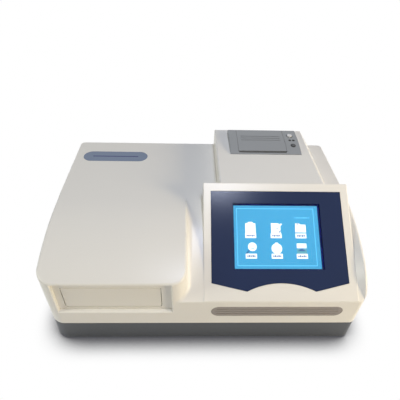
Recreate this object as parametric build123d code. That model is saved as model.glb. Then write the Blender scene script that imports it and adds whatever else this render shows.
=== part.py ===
from build123d import *
from math import cos, radians, sin, tan
import os

# A bench-top microplate reader, in millimetres: +X to the operator's right, +Y to the back, +Z up.
# The origin is on the table, under the middle of the casing.

# Casing
WIDTH = 470.0
DEPTH = 316.0
WALL = 3.0
FOOT_HEIGHT = 2.6
BASE_TOP = 45.0
SEAM = 0.6
FRONT_LEFT_R = 24.0
FRONT_RIGHT_R = 12.0
REAR_CORNER_R = 8.0
BASE_EDGE_R = 3.0
BASE_INSET = 0.4
TOP_RIM_R = 2.5

# Left deck: level at the back, falling in one long arc to the front edge
DECK_Z = 169.5
DECK_FRONT_Z = 140.0
DECK_BEND = 140.0
DECK_RIGHT = -28.0
DECK_CORNER_R = 20.0
DECK_RIM_R = 4.0
DECK_FOOT_R = 9.0
HAIR = 0.05

# Terrace: the slope on both sides of the screen block
CREASE_Z = 99.0
TERRACE_MIDDLE = (75.0, 145.0)
TERRACE_END = 165.0
TERRACE_RISE = 0.8

# Cheek: the raised rim along the right of the screen block, leaning in to the screen
CHEEK_WIDTH = 12.5
CHEEK_LEAN = (9.0, 9.0)
CHEEK_R = 3.0

# Screen block
SCREEN_TILT = 34.3
SLOPE_FOOT_Z = 100.0
BLOCK_LEFT = -3.4
BLOCK_RIGHT = 224.0
BLOCK_BACK = 149.4
BLOCK_RIM_R = 1.2
BLOCK_RIGHT_RIM_R = 2.6

# Printer housing
HOUSING_Z = 201.0
HOUSING_LEFT = 22.5
HOUSING_RIGHT = 186.5
HOUSING_FOOT_RIGHT = 208.0

# Recess and door flap on the front of the deck
RECESS_X = (-214.0, -49.0)
RECESS_Z = (74.0, 138.2)
RECESS_DEPTH = 6.0
RECESS_FLARE = 1.4
FLAP_X = (-203.5, -64.5)
FLAP_Z = (80.5, 123.5)
FLAP_GAP = 0.8
FLAP_THICK = 2.6
FLAP_CORNER_R = 2.5
FLAP_PIVOT = (8.2, 121.2)
PIVOT_R = 1.2
LUG = 4.0

# Screen opening and bezel, measured up the slope from the front edge
BEZEL_X = (8.2, 211.0)
BEZEL_V = (26.4, 166.3)
BEZEL_NOTCH_V = 14.5
BEZEL_NOTCH_X = (60.0, 161.0)
BEZEL_THICK = 2.0
BEZEL_SUNK = 0.4
BEZEL_COLLAR = 3.0
OPENING_X = (42.0, 177.1)
OPENING_V = (46.0, 146.7)
GLASS_DROP = BEZEL_THICK + BEZEL_SUNK + 1.0
GLASS_THICK = 1.1
GLASS_LAP = 4.0
DISPLAY_FACE = GLASS_DROP + GLASS_THICK + 0.7
DISPLAY_THICK = 8.0

# Inlays: middle, then overall size. The strip's middle is X and Z, the badge's is X and Y.
STRIP_AT = (106.5, 76.0)
STRIP_SIZE = (196.0, 23.0)
STRIP_GROOVE_PITCH = 5.5
BADGE_AT = (-161.5, 267.0)
BADGE_SIZE = (117.0, 31.0)
INLAY_DEPTH = 1.2
INLAY_GAP = 0.4

# Printer
PRINTER_X = (46.0, 171.5)
PRINTER_Y = (230.5, 303.0)
PRINTER_TOP = 209.5
PRINTER_LIP = 1.2
PRINTER_BROW = 56.0
PAPER_DOOR_X = (61.0, 146.0)
PAPER_ROLL_R = 22.0
PAPER_WIDTH = 79.5
DOOR_MIDDLE = (PAPER_DOOR_X[0] + PAPER_DOOR_X[1]) / 2
DOOR_GAP = 0.4
DOOR_SHELL = 2.2
DOOR_PIVOT = (301.0, 206.5)
KNUCKLE_R = 1.75
HINGE_ROD_R = 1.0
HEAD_BACK = 6.2
WELL_Z = 149.0
ROLL_AT = (271.0, 176.5)
CORE_R = 8.0
CORE_BORE_R = 6.2
PLATEN_AT = (243.1, 197.3)
PLATEN_R = 4.0
RELEASE_AT = (158.0, 281.0)
RELEASE_R = 4.6
FEED_AT = (159.5, 252.0)
FEED_R = 3.4
LAMP_PLACES = [(156.0, 266.5), (162.5, 266.5)]
LAMP_R = 1.4

# Plate carriage: a standard plate is 127.76 by 85.48 by 14.35
PLATE = (128.4, 86.2)
CARRIAGE_X = (-201.0, -67.0)
CARRIAGE_Y = (153.0, 245.0)
CARRIAGE_Z = (84.0, 94.0)
NEST_FLOOR_Z = 86.5
ROD_R = 3.0
ROD_X = (-193.0, -75.0)
ROD_Z = 73.0
BUSH_R = 4.6
BUSH_GAP = 0.05
BUSH_PAD = 5.8
BUSH_Y = (266.0, 300.0)
PULLEY_R = 6.0
SHAFT_R = 2.5
BELT_X = -64.0
BELT_ENDS = (18.0, 290.0)
CLAMP_HALF = 3.8
CLAMP_Y = (271.5, 281.5)
MID_X = (CARRIAGE_X[0] + CARRIAGE_X[1]) / 2

# Measuring head over the carriage, one channel for each column of the plate
HEAD_Y = (128.0, 146.0)
HEAD_Z = (104.0, 118.0)
BRIDGE_X = (-214.0, -54.0)
BRIDGE_THICK = 5.0
CHANNELS = 12
PITCH = 9.0
DETECTOR_HALF = 52.4
DETECTOR_Z = (74.0, 75.6)

# Filter wheel and lamp
WHEEL_X = 30.0
WHEEL_Y = 188.0
WHEEL_Z = 82.0
WHEEL_R = 40.0
FILTER_RING_R = 28.0
FILTER_R = 6.0
FILTERS = 8
BEAM_Z = WHEEL_Z + FILTER_RING_R
FIBRE_R = 3.5
FIBRE_ROUTE = [
    (17, 188, 110), (-4, 188, 110), (-24, 177, 110), (-36, 156, 110.5), (-50, 137, 111), (-72, 137, 111),
]

# Back
PANEL_X = (-36.0, 214.0)
PANEL_Z = (54.0, 134.0)
PANEL_DEEP = 2.6
PANEL_THICK = 1.5
PANEL_LEDGE = 6.0
PANEL_SCREWS = [(x, z) for x in (PANEL_X[0] - 3, PANEL_X[1] + 3) for z in (PANEL_Z[0] - 3, PANEL_Z[1] + 3)]
FAN_AT = (12.0, 94.0)
FAN_R = 27.0
INLET_AT = (180.0, 80.0)
SWITCH_AT = (180.0, 114.0)
ROCKER_TILT = 8.0
ROCKER_PIVOT_IN = 3.4
PORTS = [(66, 104, 15.6, 8.0), (66, 84, 15.6, 8.0), (112, 94, 31.0, 13.0)]

# Base, feet, fasteners and vents
CHASSIS_TOP = 12.0
FOOT_PLACES = [(-196, 42), (196, 42), (-196, 274), (196, 274)]
FOOT_R = 11.0
COVER_BOSSES = [(-218, 60), (-218, 250), (218, 60), (218, 250)]
BOARD_CORNERS = [(-8, 30), (200, 30), (-8, 146), (200, 146)]
BOARD_Z = (24.0, 25.6)
SIDE_VENT_Y = (190.0, 270.0)
SIDE_VENT_Z = [78 + 9 * row for row in range(7)]
VENT_GAP = 3.5
VENT_SLOTS = [group + 10 * n for group in (-150, 70) for n in range(9)]
VENT_Y = (210.0, 262.0)
OVERRUN = 4.0


def back(distance):
    """A place behind the front face, as a Y in the part's frame."""
    return distance - DEPTH / 2


def block(x, y, z):
    """A box from its limits in X, behind the front face, and in Z."""
    size = (x[1] - x[0], y[1] - y[0], z[1] - z[0])
    return Pos((x[0] + x[1]) / 2, back((y[0] + y[1]) / 2), (z[0] + z[1]) / 2) * Box(*size)


def along_x(profile, x):
    """Extrudes a profile, drawn as distance behind the front and height, between two X limits."""
    return extrude(Plane.YZ.offset(x[0]) * (Pos(-DEPTH / 2, 0) * profile), x[1] - x[0], dir=(1, 0, 0))


def rod_x(radius, x, y, z):
    return Pos((x[0] + x[1]) / 2, back(y), z) * Rot(0, 90, 0) * Cylinder(radius, x[1] - x[0])


def rod_y(radius, x, y, z):
    return Pos(x, back((y[0] + y[1]) / 2), z) * Rot(90, 0, 0) * Cylinder(radius, y[1] - y[0])


def rod_z(radius, x, y, z):
    return Pos(x, back(y), (z[0] + z[1]) / 2) * Cylinder(radius, z[1] - z[0])


def plan(x, y, radii, z):
    """A prism with its own radius at each corner: front left, front right, back right, back left."""
    outline = Pos((x[0] + x[1]) / 2, back((y[0] + y[1]) / 2)) * Rectangle(x[1] - x[0], y[1] - y[0])
    for (right, rear), radius in zip(((0, 0), (1, 0), (1, 1), (0, 1)), radii):
        if radius > 0:
            corner = outline.vertices().group_by(Axis.Y)[-rear].sort_by(Axis.X)[-right]
            outline = fillet(corner, radius)
    return Pos(0, 0, z[0]) * extrude(outline, z[1] - z[0], dir=(0, 0, 1))


def soften(shape, edges, radius):
    """Rounds edges, at a smaller radius where the full one doesn't fit."""
    for share in (1.0, 0.7, 0.4):
        try:
            rounded = fillet(edges, radius * share)
            if rounded.is_valid and 0.5 < rounded.volume / shape.volume < 1.5:
                return rounded
        except Exception:
            continue
    print("edges left sharp at radius", radius)
    return shape


# The screen's plane: X across, Y up the slope, Z out of the screen
SLOPE = Plane(
    origin=(0, back(0), SLOPE_FOOT_Z),
    x_dir=(1, 0, 0),
    z_dir=(0, -sin(radians(SCREEN_TILT)), cos(radians(SCREEN_TILT))),
)


def on_slope(x, v, n):
    """A box on the screen's plane: across, up the slope, and out of it."""
    size = (x[1] - x[0], v[1] - v[0], n[1] - n[0])
    return SLOPE * Pos((x[0] + x[1]) / 2, (v[0] + v[1]) / 2, (n[0] + n[1]) / 2) * Box(*size)


def deck_profile(inset, bottom):
    """The deck from the side. It starts ahead of the front face, and the plan trims it."""
    drop = DECK_Z - DECK_FRONT_Z
    radius = (DECK_BEND**2 + drop**2) / (2 * drop)

    def on_arc(y):
        return (y, DECK_Z - inset - radius + (radius**2 - (DECK_BEND - y) ** 2) ** 0.5)

    ahead = on_arc(-OVERRUN)
    end = (DEPTH - inset, DECK_Z - inset)
    return make_face([
        ThreePointArc(ahead, on_arc(DECK_BEND / 2), on_arc(DECK_BEND)),
        Line(on_arc(DECK_BEND), end),
        Line(end, (DEPTH - inset, bottom)),
        Line((DEPTH - inset, bottom), (ahead[0], bottom)),
        Line((ahead[0], bottom), ahead),
    ])


def terrace_profile(inset, bottom):
    """The terrace from the side, ahead of the front face as the deck is."""
    drop = 1.25 * inset
    ahead = (-OVERRUN, CREASE_Z - OVERRUN * TERRACE_RISE - drop)
    end = (TERRACE_END, DECK_Z - inset)
    rear = (DEPTH - inset, DECK_Z - inset)
    return make_face([
        Spline(ahead, (TERRACE_MIDDLE[0], TERRACE_MIDDLE[1] - drop), end,
               tangents=((1, TERRACE_RISE), (1, 0))),
        Line(end, rear),
        Line(rear, (DEPTH - inset, bottom)),
        Line((DEPTH - inset, bottom), (ahead[0], bottom)),
        Line((ahead[0], bottom), ahead),
    ])


def cheek_profile():
    top = Spline(
        (165, DECK_Z), (102, 160.5), (67, 150), (44, 140), (22, 125), (2, CREASE_Z + 1),
        tangents=((-1, -0.02), (-0.62, -1)),
    )
    return make_face([
        top,
        Line((2, CREASE_Z + 1), (2, CREASE_Z - 9)),
        Line((2, CREASE_Z - 9), (165, CREASE_Z - 9)),
        Line((165, CREASE_Z - 9), (165, DECK_Z)),
    ])


def block_profile(inset):
    rise = tan(radians(SCREEN_TILT))
    fall = inset / cos(radians(SCREEN_TILT))
    low = (4 * inset, SLOPE_FOOT_Z + 4 * inset * rise - fall)
    if inset == 0:
        low = (0.8, SLOPE_FOOT_Z + 0.8 * rise)
    high = (BLOCK_BACK - inset, SLOPE_FOOT_Z + (BLOCK_BACK - inset) * rise - fall)
    return Polygon(low, high, (high[0], low[1] - 12), (low[0], low[1] - 12), align=None)


def housing_solid(inset, front, rear, bottom):
    """The printer housing: upright on its left, sloping on its right."""
    lean = (HOUSING_FOOT_RIGHT - HOUSING_RIGHT) / (HOUSING_Z - DECK_Z)
    side = inset * (1 + lean**2) ** 0.5
    top = HOUSING_Z - inset
    right_top = HOUSING_RIGHT + inset * lean - side
    right_low = right_top + (top - bottom) * lean
    section = Polygon((HOUSING_LEFT + inset, bottom), (right_low, bottom), (right_top, top),
                      (HOUSING_LEFT + inset, top), align=None)
    return extrude(Plane.XZ.offset(-back(front)) * section, rear - front, dir=(0, 1, 0))


def casing_prism(inset, z):
    half = WIDTH / 2 - inset
    radii = [radius - inset for radius in (FRONT_LEFT_R, FRONT_RIGHT_R, REAR_CORNER_R, REAR_CORNER_R)]
    return plan((-half, half), (inset, DEPTH - inset), radii, z)


def deck_and_terrace():
    """The low half of the cover: the deck over the terrace, with a wide hollow curve where they meet."""
    bottom = BASE_TOP + SEAM
    half = WIDTH / 2
    lower = along_x(terrace_profile(0, bottom), (-half, half)) & casing_prism(0, (bottom, HOUSING_Z))
    rims = [e for e in lower.edges() if e.center().Z > CREASE_Z - 2]
    lower = soften(lower, rims, 2.5)
    deck_plan = plan((-half, DECK_RIGHT), (0, DEPTH), (FRONT_LEFT_R, DECK_CORNER_R, 0, REAR_CORNER_R),
                     (bottom, HOUSING_Z))
    deck = along_x(deck_profile(0, bottom), (-half, DECK_RIGHT)) & deck_plan
    rims = [e for e in deck.edges() if DECK_FRONT_Z - 2 < e.center().Z < HOUSING_Z - 5]
    whole = lower + soften(deck, rims, DECK_RIM_R)
    foot = [e for e in whole.edges()
            if abs(e.center().X - DECK_RIGHT) < 8 and CREASE_Z + 1 < e.center().Z < DECK_Z - 1]
    whole = soften(whole, foot, DECK_FOOT_R)
    # The hollow curve runs out to nothing at its ends, which a hair's trim makes clean
    return whole & block((-half, half), (HAIR, DEPTH), (0, DECK_Z - HAIR))


def cheek_solid():
    """The rim on the right of the screen block. Its inner side leans back, and all its edges are soft."""
    left = WIDTH / 2 - CHEEK_WIDTH
    cheek = along_x(cheek_profile(), (left, WIDTH / 2)) & casing_prism(0, (BASE_TOP, HOUSING_Z))
    inner_side = cheek.faces().sort_by(Axis.X)[0]
    crest = inner_side.edges().filter_by(GeomType.BSPLINE)[0]
    cheek = chamfer(crest, length=CHEEK_LEAN[0], length2=CHEEK_LEAN[1], reference=inner_side)
    crests = [e for e in cheek.edges() if e.center().Z > CREASE_Z + 25 and e.length > 120]
    return soften(cheek, crests, CHEEK_R)


def cover_outside():
    screen = along_x(block_profile(0), (BLOCK_LEFT, BLOCK_RIGHT))
    right_rim = [e for e in screen.faces().sort_by(Axis.X)[-1].edges() if e.length > BLOCK_BACK]
    screen = soften(screen, right_rim, BLOCK_RIGHT_RIM_R)
    rims = [e for e in screen.edges() if e.center().Z > SLOPE_FOOT_Z + 20 and e.center().X < BLOCK_RIGHT - 6]
    screen = soften(screen, rims, BLOCK_RIM_R)
    housing = housing_solid(0, BLOCK_BACK - 1, DEPTH, DECK_Z - 8)
    rims = [e for e in housing.edges() if e.center().Z > HOUSING_Z - 1 and e.center().Y > back(BLOCK_BACK)]
    housing = soften(housing, rims, TOP_RIM_R)
    return deck_and_terrace() + cheek_solid() + screen + housing


def cover_inside():
    bottom = BASE_TOP + SEAM - 1
    half = WIDTH / 2 - WALL
    full = casing_prism(WALL, (bottom, HOUSING_Z + 20))
    lower = along_x(terrace_profile(WALL, bottom), (-half, half)) & full
    deck_plan = plan((-half, DECK_RIGHT - WALL), (WALL, DEPTH - WALL),
                     (FRONT_LEFT_R - WALL, DECK_CORNER_R - WALL, 0, REAR_CORNER_R - WALL),
                     (bottom, DECK_Z + 5))
    deck = along_x(deck_profile(WALL, bottom), (-half, DECK_RIGHT - WALL)) & deck_plan
    screen = along_x(block_profile(WALL), (BLOCK_LEFT + WALL, BLOCK_RIGHT - WALL))
    housing = housing_solid(WALL, BLOCK_BACK - 40, DEPTH - WALL, DECK_Z - 12)
    housing &= block((0, WIDTH / 2), (BLOCK_BACK - 3.5, DEPTH), (0, HOUSING_Z))
    return lower + deck + screen + housing


def bezel_outline(grow):
    """The screen surround, with its scalloped lower edge, on the screen's plane."""
    left, right = BEZEL_X[0] - grow, BEZEL_X[1] + grow
    low, high = BEZEL_V[0] - grow, BEZEL_V[1] + grow
    notch = BEZEL_NOTCH_V - grow
    crown = ((BEZEL_NOTCH_X[0] + BEZEL_NOTCH_X[1]) / 2, BEZEL_V[0] - grow)
    return make_face([
        Line((left, low), (BEZEL_NOTCH_X[0], notch)),
        ThreePointArc((BEZEL_NOTCH_X[0], notch), crown, (BEZEL_NOTCH_X[1], notch)),
        Line((BEZEL_NOTCH_X[1], notch), (right, low)),
        Line((right, low), (right, high)),
        Line((right, high), (left, high)),
        Line((left, high), (left, low)),
    ])


def strip_prism(size, depth):
    return extrude(Plane.XZ.offset(DEPTH / 2) * Pos(*STRIP_AT) * SlotOverall(*size), depth, dir=(0, 1, 0))


def badge_prism(size, depth):
    return Pos(BADGE_AT[0], back(BADGE_AT[1]), DECK_Z - depth) * extrude(SlotOverall(*size), depth)


def printer_profile(inset):
    """The printer's curved top, seen from its side."""
    front, rear = PRINTER_Y[0] + inset, PRINTER_Y[1] - inset
    low = HOUSING_Z + PRINTER_LIP - inset
    top = PRINTER_TOP - inset
    brow = (front + PRINTER_BROW / 3, low + 0.58 * (top - low))
    return make_face([
        Line((front, HOUSING_Z - 6), (front, low)),
        ThreePointArc((front, low), brow, (front + PRINTER_BROW, top)),
        Line((front + PRINTER_BROW, top), (rear - 4, top)),
        ThreePointArc((rear - 4, top), (rear - 1.2, top - 1.2), (rear, top - 4)),
        Line((rear, top - 4), (rear, HOUSING_Z - 6)),
        Line((rear, HOUSING_Z - 6), (front, HOUSING_Z - 6)),
    ])


def wall_prism(x, z, radius, y):
    """A prism through the front wall, with rounded corners."""
    outline = Pos((x[0] + x[1]) / 2, (z[0] + z[1]) / 2) * RectangleRounded(x[1] - x[0], z[1] - z[0], radius)
    return extrude(Plane.XZ.offset(-back(y[0])) * outline, y[1] - y[0], dir=(0, 1, 0))


def recess_cut():
    """The hollow in the front wall. Its outer edges flare, except along the top, under the deck."""
    hollow = block(RECESS_X, (-5, RECESS_DEPTH), RECESS_Z)
    width = RECESS_X[1] - RECESS_X[0]
    height = RECESS_Z[1] - RECESS_Z[0]
    middle = ((RECESS_X[0] + RECESS_X[1]) / 2, (RECESS_Z[0] + RECESS_Z[1]) / 2)
    outer = Pos(*middle) * Rectangle(width + 2 * RECESS_FLARE, height + 2 * RECESS_FLARE)
    inner = Pos(*middle) * Rectangle(width, height)
    flare = loft([Plane.XZ.offset(DEPTH / 2) * outer, Plane.XZ.offset(DEPTH / 2 - RECESS_FLARE) * inner])
    return hollow + (flare & block((RECESS_X[0] - 5, RECESS_X[1] + 5), (-5, RECESS_DEPTH), (0, RECESS_Z[1])))


def with_recess(shell):
    """Adds the recess, its mouth for the carriage, and the lugs that hold the flap's pins."""
    shell += block((RECESS_X[0] - WALL, RECESS_X[1] + WALL), (WALL - 0.5, RECESS_DEPTH + WALL),
                   (RECESS_Z[0] - WALL, RECESS_Z[1] - 1.5))
    shell -= recess_cut()
    mouth_x = (FLAP_X[0] - FLAP_GAP, FLAP_X[1] + FLAP_GAP)
    mouth_z = (FLAP_Z[0] - FLAP_GAP, FLAP_Z[1] + FLAP_GAP)
    shell -= wall_prism(mouth_x, mouth_z, FLAP_CORNER_R + FLAP_GAP, (0, 20))
    # The flap's ends swing up through the mouth's top corners, so these are square
    shell -= block(mouth_x, (0, 20), (FLAP_PIVOT[1], mouth_z[1]))
    for x in (mouth_x[0] - LUG, mouth_x[1]):
        shell += block((x, x + LUG), (RECESS_DEPTH + 1, 13), (FLAP_PIVOT[1] - 4, FLAP_PIVOT[1] + 8))
        shell -= rod_x(PIVOT_R + BUSH_GAP, (x - 1, x + LUG + 1), *FLAP_PIVOT)
    return shell - block(mouth_x, (RECESS_DEPTH + WALL, 20), mouth_z)


def with_back(shell):
    """Cuts the opening for the rear panel, the ledge that it sits on, and its screw holes."""
    shell -= block(PANEL_X, (DEPTH - 6, DEPTH + 1), PANEL_Z)
    ledge_x = (PANEL_X[0] - PANEL_LEDGE, PANEL_X[1] + PANEL_LEDGE)
    ledge_z = (PANEL_Z[0] - PANEL_LEDGE, PANEL_Z[1] + PANEL_LEDGE)
    shell -= block(ledge_x, (DEPTH - PANEL_DEEP, DEPTH + 1), ledge_z)
    for x, z in PANEL_SCREWS:
        shell -= rod_y(1.25, x, (DEPTH - 10, DEPTH), z)
    return shell


def with_bosses(shell):
    """Adds the four screw bosses, each tied to the wall beside it."""
    for x, y in COVER_BOSSES:
        boss = rod_z(6.0, x, y, (BASE_TOP + SEAM, 80))
        bridge = block((min(x, x * 1.08), max(x, x * 1.08)), (y - 2, y + 2), (BASE_TOP + SEAM, 80))
        shell += (boss + bridge) & casing_prism(WALL - 0.5, (BASE_TOP, 90))
        shell -= rod_z(1.6, x, y, (BASE_TOP - 1, 70))
    return shell


def top_cover():
    shell = with_recess(cover_outside() - cover_inside())
    pocket = BEZEL_THICK + BEZEL_SUNK
    shell -= SLOPE * Pos(0, 0, -pocket) * extrude(bezel_outline(0.3), pocket + 5)
    shell -= on_slope((OPENING_X[0] - 6, OPENING_X[1] + 6), (OPENING_V[0] - 6, OPENING_V[1] + 6), (-13, 1))
    shell -= block((PRINTER_X[0] + 2, PRINTER_X[1] - 2), (PRINTER_Y[0] + 2, PRINTER_Y[1] - 2),
                   (HOUSING_Z - 20, HOUSING_Z + 5))
    shell -= strip_prism((STRIP_SIZE[0] + INLAY_GAP, STRIP_SIZE[1] + INLAY_GAP), INLAY_DEPTH)
    shell -= badge_prism((BADGE_SIZE[0] + INLAY_GAP, BADGE_SIZE[1] + INLAY_GAP), INLAY_DEPTH)
    for side in (-1, 1):
        wall = sorted((side * (WIDTH / 2 - 5), side * (WIDTH / 2 + 5)))
        for z in SIDE_VENT_Z:
            shell -= block(wall, SIDE_VENT_Y, (z, z + VENT_GAP))
    return with_bosses(with_back(shell))


def base_tray():
    floor = FOOT_HEIGHT + WALL
    outer = casing_prism(BASE_INSET, (FOOT_HEIGHT, BASE_TOP))
    outer = fillet(outer.edges().group_by(Axis.Z)[0], BASE_EDGE_R)
    tray = outer - casing_prism(WALL, (floor, BASE_TOP + 1))
    tongue = casing_prism(WALL - 1, (BASE_TOP - 12, BASE_TOP - 2))
    tongue += casing_prism(WALL + 0.3, (BASE_TOP - 3, BASE_TOP + 4))
    tongue -= casing_prism(WALL + 2.0, (BASE_TOP - 13, BASE_TOP + 5))
    for x, y in COVER_BOSSES:
        tongue -= block((min(x, 1.1 * x), max(x, 1.1 * x)), (y - 8, y + 8), (BASE_TOP - 20, BASE_TOP + 10))
    tray += tongue
    for x, y in COVER_BOSSES:
        tray += rod_z(6.5, x, y, (FOOT_HEIGHT + 1, BASE_TOP + SEAM - 0.2)) & casing_prism(1, (0, 60))
        tray -= rod_z(1.9, x, y, (0, BASE_TOP + 10))
        tray -= rod_z(3.6, x, y, (0, FOOT_HEIGHT + 8))
    for x, y in FOOT_PLACES:
        tray -= rod_z(2.5, x, y, (0, floor + 1))
    for x in VENT_SLOTS:
        tray -= block((x, x + VENT_GAP), VENT_Y, (0, floor + 1))
    return tray


def rubber_feet():
    feet = []
    for x, y in FOOT_PLACES:
        pad = rod_z(FOOT_R, x, y, (0, FOOT_HEIGHT))
        pad = fillet(pad.edges().group_by(Axis.Z)[0], 1.2)
        feet.append(pad + rod_z(2.4, x, y, (FOOT_HEIGHT - 1, FOOT_HEIGHT + WALL + 2)))
    return Compound(feet)


def cover_screws():
    screws = []
    for x, y in COVER_BOSSES:
        head = rod_z(3.2, x, y, (FOOT_HEIGHT + 5.4, FOOT_HEIGHT + 8))
        head -= rod_z(1.3, x, y, (FOOT_HEIGHT + 5, FOOT_HEIGHT + 6.9))
        screws.append(head + rod_z(1.5, x, y, (FOOT_HEIGHT + 7, 66)))
    return Compound(screws)


def chassis_plate():
    plate = block((-222, 222), (14, 300), (CHASSIS_TOP - 2, CHASSIS_TOP))
    for x, y in COVER_BOSSES:
        plate -= rod_z(9, x, y, (0, 20))
    for x in VENT_SLOTS:
        plate -= block((x, x + VENT_GAP), VENT_Y, (0, 20))
    for x in (-180, 0, 180):
        for y in (26, 288):
            plate += rod_z(5, x, y, (FOOT_HEIGHT + WALL, CHASSIS_TOP - 1.5))
    return plate


def screen_bezel():
    """The surround, with a collar round the opening that presses on the glass."""
    plate = SLOPE * Pos(0, 0, -BEZEL_THICK - BEZEL_SUNK) * extrude(bezel_outline(0), BEZEL_THICK)
    plate += on_slope((OPENING_X[0] - BEZEL_COLLAR, OPENING_X[1] + BEZEL_COLLAR),
                      (OPENING_V[0] - BEZEL_COLLAR, OPENING_V[1] + BEZEL_COLLAR),
                      (0.05 - GLASS_DROP, -BEZEL_THICK - BEZEL_SUNK + 0.1))
    return plate - on_slope(OPENING_X, OPENING_V, (-12, 2))


def touch_glass():
    x = (OPENING_X[0] - GLASS_LAP, OPENING_X[1] + GLASS_LAP)
    v = (OPENING_V[0] - GLASS_LAP, OPENING_V[1] + GLASS_LAP)
    return on_slope(x, v, (-GLASS_DROP - GLASS_THICK, -GLASS_DROP))


def display_module():
    """The panel behind the glass, with a rim that carries the glass and a board on its back."""
    glass_under = -GLASS_DROP - GLASS_THICK
    x = (OPENING_X[0] - GLASS_LAP - 1, OPENING_X[1] + GLASS_LAP + 1)
    v = (OPENING_V[0] - GLASS_LAP - 1, OPENING_V[1] + GLASS_LAP + 1)
    body = on_slope(x, v, (-DISPLAY_FACE - DISPLAY_THICK, glass_under))
    body -= on_slope((OPENING_X[0] - 1, OPENING_X[1] + 1), (OPENING_V[0] - 1, OPENING_V[1] + 1),
                     (-DISPLAY_FACE, 0))
    board = on_slope((OPENING_X[0] + 10, OPENING_X[1] - 10), (OPENING_V[0] + 8, OPENING_V[1] - 20),
                     (-DISPLAY_FACE - DISPLAY_THICK - 4, 0.5 - DISPLAY_FACE - DISPLAY_THICK))
    return body + board


def display_bracket():
    top = -DISPLAY_FACE - DISPLAY_THICK
    ear_out, ear_in = 16.0, 8.0
    x = (OPENING_X[0] - ear_out, OPENING_X[1] + ear_out)
    frame = on_slope(x, (OPENING_V[0] - 3, OPENING_V[1] + 3), (top - 1.5, top))
    frame -= on_slope((OPENING_X[0] + 8, OPENING_X[1] - 8), (OPENING_V[0] + 6, OPENING_V[1] - 18),
                      (top - 3, top + 1))
    for x_ear in ((x[0], OPENING_X[0] - ear_in), (OPENING_X[1] + ear_in, x[1])):
        for v_ear in ((OPENING_V[0] + 4, OPENING_V[0] + 14), (OPENING_V[1] - 14, OPENING_V[1] - 4)):
            frame += on_slope(x_ear, v_ear, (top - 0.5, -WALL - 0.1))
    return frame


def front_strip():
    strip = strip_prism(STRIP_SIZE, INLAY_DEPTH - 0.1)
    for row in (-1, 0, 1):
        z = STRIP_AT[1] + row * STRIP_GROOVE_PITCH
        inner = STRIP_SIZE[0] / 2 - 6 - abs(row) * 2
        strip -= block((STRIP_AT[0] - inner, STRIP_AT[0] + inner), (-1, 0.6), (z - 0.5, z + 0.5))
    return Pos(0, 0.1, 0) * strip


def name_badge():
    badge = badge_prism(BADGE_SIZE, INLAY_DEPTH)
    groove = Pos(BADGE_AT[0], back(BADGE_AT[1]), DECK_Z) * Box(BADGE_SIZE[0] * 0.72, 1.2, 0.6)
    return badge - groove


def plate_flap():
    flap = wall_prism(FLAP_X, FLAP_Z, FLAP_CORNER_R, (RECESS_DEPTH, RECESS_DEPTH + FLAP_THICK))
    front = flap.faces().sort_by(Axis.Y)[0].edges()
    flap = fillet(front, 0.6)
    knuckle_end = 6.0
    for x in (FLAP_X[0] + 0.5, FLAP_X[1] - knuckle_end - 0.5):
        knuckle = rod_x(2.2, (x, x + knuckle_end), *FLAP_PIVOT)
        flap += knuckle & block(FLAP_X, (RECESS_DEPTH + 0.3, 20), (0, FLAP_Z[1]))
    rib_z = (FLAP_Z[0] + 6, FLAP_Z[0] + 8)
    flap += block((FLAP_X[0] + 8, FLAP_X[1] - 8), (RECESS_DEPTH + 1, RECESS_DEPTH + 4.5), rib_z)
    bore = rod_x(PIVOT_R, (FLAP_X[0] - 1, FLAP_X[0] + knuckle_end), *FLAP_PIVOT)
    bore += rod_x(PIVOT_R, (FLAP_X[1] - knuckle_end, FLAP_X[1] + 1), *FLAP_PIVOT)
    return flap - bore


def flap_pins():
    left = rod_x(PIVOT_R, (FLAP_X[0] - 4.4, FLAP_X[0] + 6), *FLAP_PIVOT)
    right = rod_x(PIVOT_R, (FLAP_X[1] - 6, FLAP_X[1] + 4.4), *FLAP_PIVOT)
    return Compound([left, right])


def plate_carriage():
    """The tray that carries the plate, its tail, the two bush pads and the arm to the belt."""
    x0, x1 = CARRIAGE_X
    y0, y1 = CARRIAGE_Y
    tail_top = CARRIAGE_Z[0] + 4
    body = block(CARRIAGE_X, CARRIAGE_Y, CARRIAGE_Z)
    body = fillet(body.edges().filter_by(Axis.Z), 3.0)
    middle_y = (y0 + y1) / 2
    body -= Pos(MID_X, back(middle_y), (NEST_FLOOR_Z + 110) / 2) * Box(PLATE[0], PLATE[1], 110 - NEST_FLOOR_Z)
    body -= Pos(MID_X, back(middle_y), 90) * Box(PLATE[0] - 9, PLATE[1] - 9, 40)
    body -= block((MID_X - 22, MID_X + 22), (y0 - 2, y0 + 4), (NEST_FLOOR_Z + 1.5, 100))
    tail = block((x0 + 2, x1 - 2), (y1 - 3, 303), (CARRIAGE_Z[0], tail_top))
    tail -= block((MID_X - 22, MID_X + 22), (y1 + 8, 292), (0, 100))
    body += tail
    for x in ROD_X:
        pad = block((x - BUSH_PAD, x + BUSH_PAD), BUSH_Y, (ROD_Z - BUSH_PAD, CARRIAGE_Z[0] + 1))
        body += pad - rod_y(BUSH_R, x, (BUSH_Y[0] - 6, BUSH_Y[1] + 10), ROD_Z)
    arm = block((x1 - 4, BELT_X + CLAMP_HALF), (CLAMP_Y[0] - 3, CLAMP_Y[1] + 3), (CARRIAGE_Z[0], tail_top))
    return body + arm


def carriage_bushes():
    bushes = []
    length = 12.0
    for x in ROD_X:
        for y in (BUSH_Y[0] + 1, BUSH_Y[1] - 1 - length):
            outer = rod_y(BUSH_R, x, (y, y + length), ROD_Z)
            bushes.append(outer - rod_y(ROD_R + BUSH_GAP, x, (y - 1, y + length + 1), ROD_Z))
    return Compound(bushes)


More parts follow.
